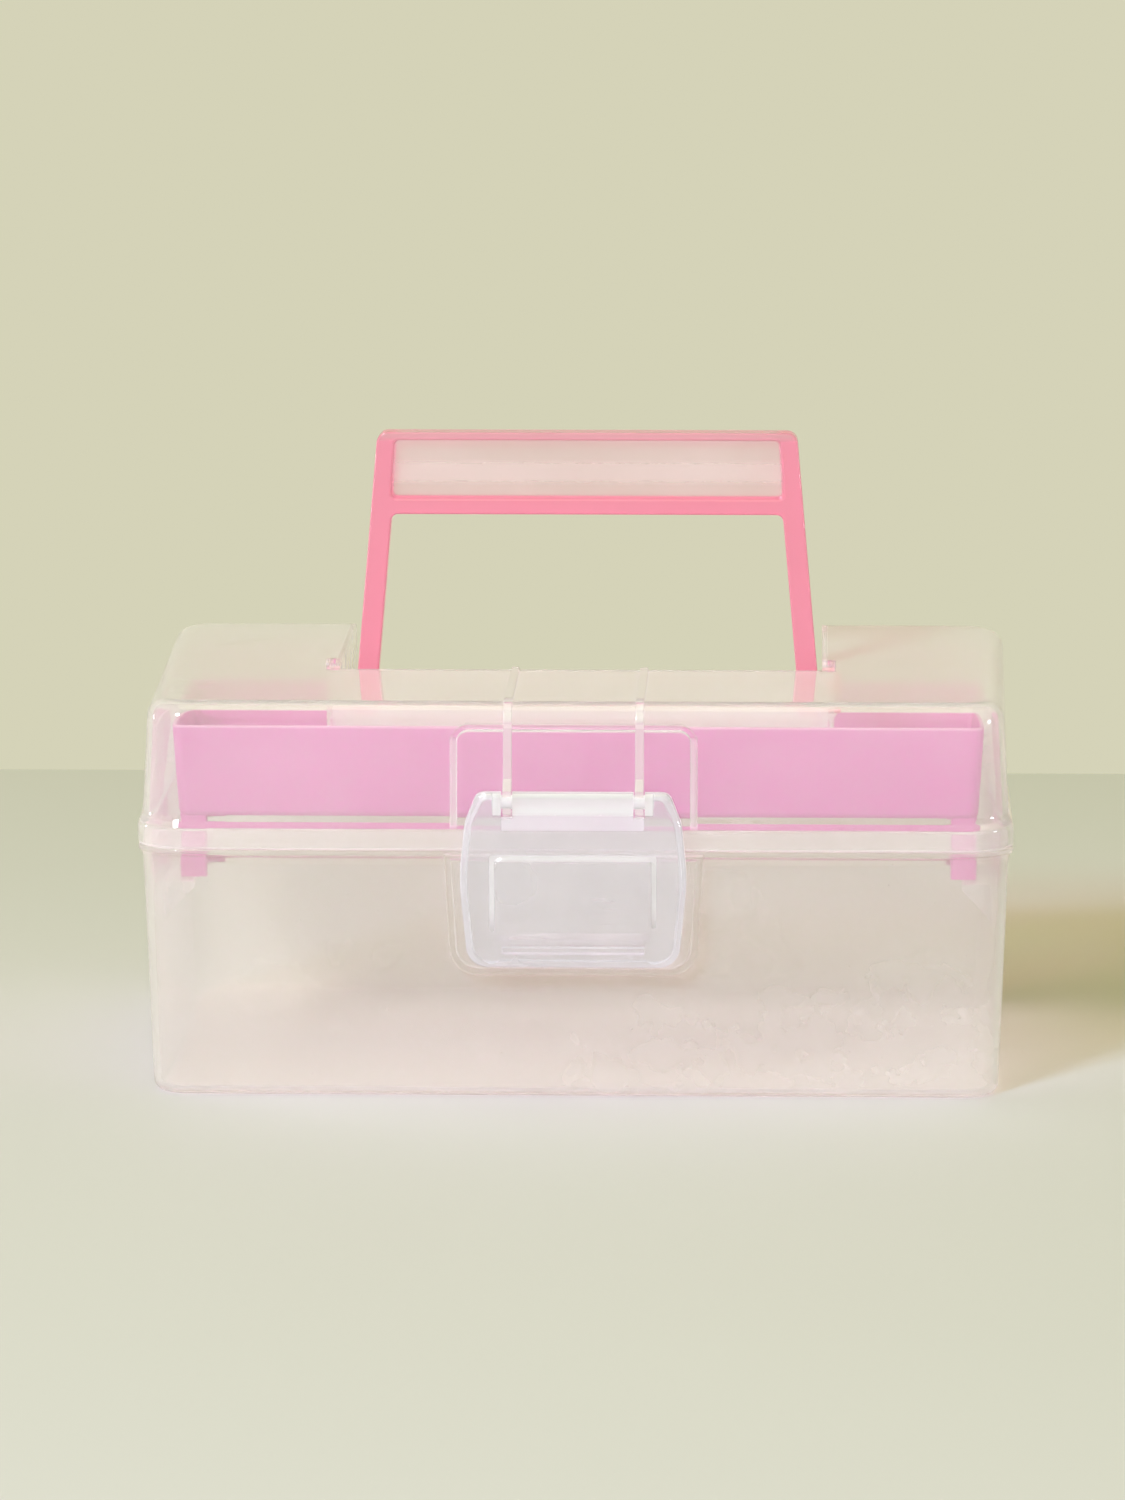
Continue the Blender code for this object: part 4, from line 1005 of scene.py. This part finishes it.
def build_world():
    """What is seen or mirrored is the wall's colour; a warm dim sky fills the shadows."""
    world = bpy.data.worlds.new("studio")
    bpy.context.scene.world = world
    world.use_nodes = True
    tree = world.node_tree
    tree.nodes.clear()
    path = tree.nodes.new("ShaderNodeLightPath")
    seen = path.outputs["Is Camera Ray"]
    for kind in ("Is Transmission Ray", "Is Glossy Ray"):
        either = tree.nodes.new("ShaderNodeMath")
        either.operation = "MAXIMUM"
        tree.links.new(seen, either.inputs[0])
        tree.links.new(path.outputs[kind], either.inputs[1])
        seen = either.outputs[0]
    wall = tree.nodes.new("ShaderNodeBackground")
    wall.inputs["Color"].default_value = (*WALL_COLOUR, 1)
    sky = tree.nodes.new("ShaderNodeBackground")
    sky.inputs["Color"].default_value = (*SKY_COLOUR, 1)
    mix = tree.nodes.new("ShaderNodeMixShader")
    tree.links.new(seen, mix.inputs[0])
    tree.links.new(sky.outputs[0], mix.inputs[1])
    tree.links.new(wall.outputs[0], mix.inputs[2])
    output = tree.nodes.new("ShaderNodeOutputWorld")
    tree.links.new(mix.outputs[0], output.inputs[0])


def area_light(name, location, target, size, power, colour):
    data = bpy.data.lights.new(name, "AREA")
    data.shape = "RECTANGLE"
    data.size, data.size_y = size
    data.energy = power
    data.color = colour
    light = bpy.data.objects.new(name, data)
    light.location = location
    light.rotation_euler = (Vector(target) - Vector(location)).to_track_quat("-Z", "Y").to_euler()
    light.visible_transmission = False      # lamps already reach through the walls by shadow rays
    bpy.context.scene.collection.objects.link(light)


def build_lights():
    area_light("key_left", (-1.55, -2.67, 2.26), (0, 0, 0.05), (0.67, 0.67), 127.0, (0.87, 0.90, 1.0))
    area_light("top_soft", (0.0, -0.2, 2.6), (0, 0, 0), (1.6, 1.6), 12.0, (0.95, 0.97, 0.50))
    area_light("low_right", (2.3, -0.55, 0.26), (0.12, -0.05, 0.07), (0.40, 0.50), 13.0, (0.86, 0.92, 1.0))
    area_light("low_left", (-2.4, 0.65, 0.22), (-0.12, -0.07, 0.09), (0.16, 0.50), 7.0, (1.0, 0.98, 0.96))


# ---- camera
CAMERA_PLACE = (0.07008, -2.22109, 0.48662)
CAMERA_YAW, CAMERA_PITCH, CAMERA_ROLL = -0.0342, 0.1760, -0.0019
CAMERA_LENS = 177.24


def build_camera():
    data = bpy.data.cameras.new("camera")
    data.sensor_width = 36.0
    data.lens = CAMERA_LENS
    data.clip_start, data.clip_end = 0.05, 30.0
    camera = bpy.data.objects.new("camera", data)
    ahead = Vector((math.sin(CAMERA_YAW) * math.cos(CAMERA_PITCH),
                    math.cos(CAMERA_YAW) * math.cos(CAMERA_PITCH), -math.sin(CAMERA_PITCH)))
    right = Vector((math.cos(CAMERA_YAW), -math.sin(CAMERA_YAW), 0.0))
    upward = right.cross(ahead)
    turned_right = right * math.cos(CAMERA_ROLL) + upward * math.sin(CAMERA_ROLL)
    turned_up = upward * math.cos(CAMERA_ROLL) - right * math.sin(CAMERA_ROLL)
    basis = Matrix((turned_right, turned_up, -ahead)).transposed()
    camera.matrix_world = Matrix.Translation(CAMERA_PLACE) @ basis.to_4x4()
    bpy.context.scene.collection.objects.link(camera)
    bpy.context.scene.camera = camera


def tune_rendering():
    """Light has to cross many thin walls, and colours are shown as they are."""
    scene = bpy.context.scene
    scene.view_settings.view_transform = "Standard"
    scene.cycles.max_bounces = 24
    scene.cycles.transmission_bounces = 24
    scene.cycles.transparent_max_bounces = 40
    scene.cycles.diffuse_bounces = 5
    scene.cycles.glossy_bounces = 6


def main():
    build_table()
    build_world()
    build_lights()
    build_camera()
    tune_rendering()
    build_base(clear_shell_material("base_polypropylene", 0.19, 0.07, (0.885, 0.878, 0.870), base_frost))
    build_lid(clear_shell_material("lid_polypropylene", 0.13, 0.04, (0.935, 0.925, 0.935), lid_frost))
    build_latch(latch_material())
    build_handle(handle_material())
    build_tray(tray_material())
    steel = steel_material()
    for name in HINGE_PINS:
        build_hinge_pin(name, steel)


main()
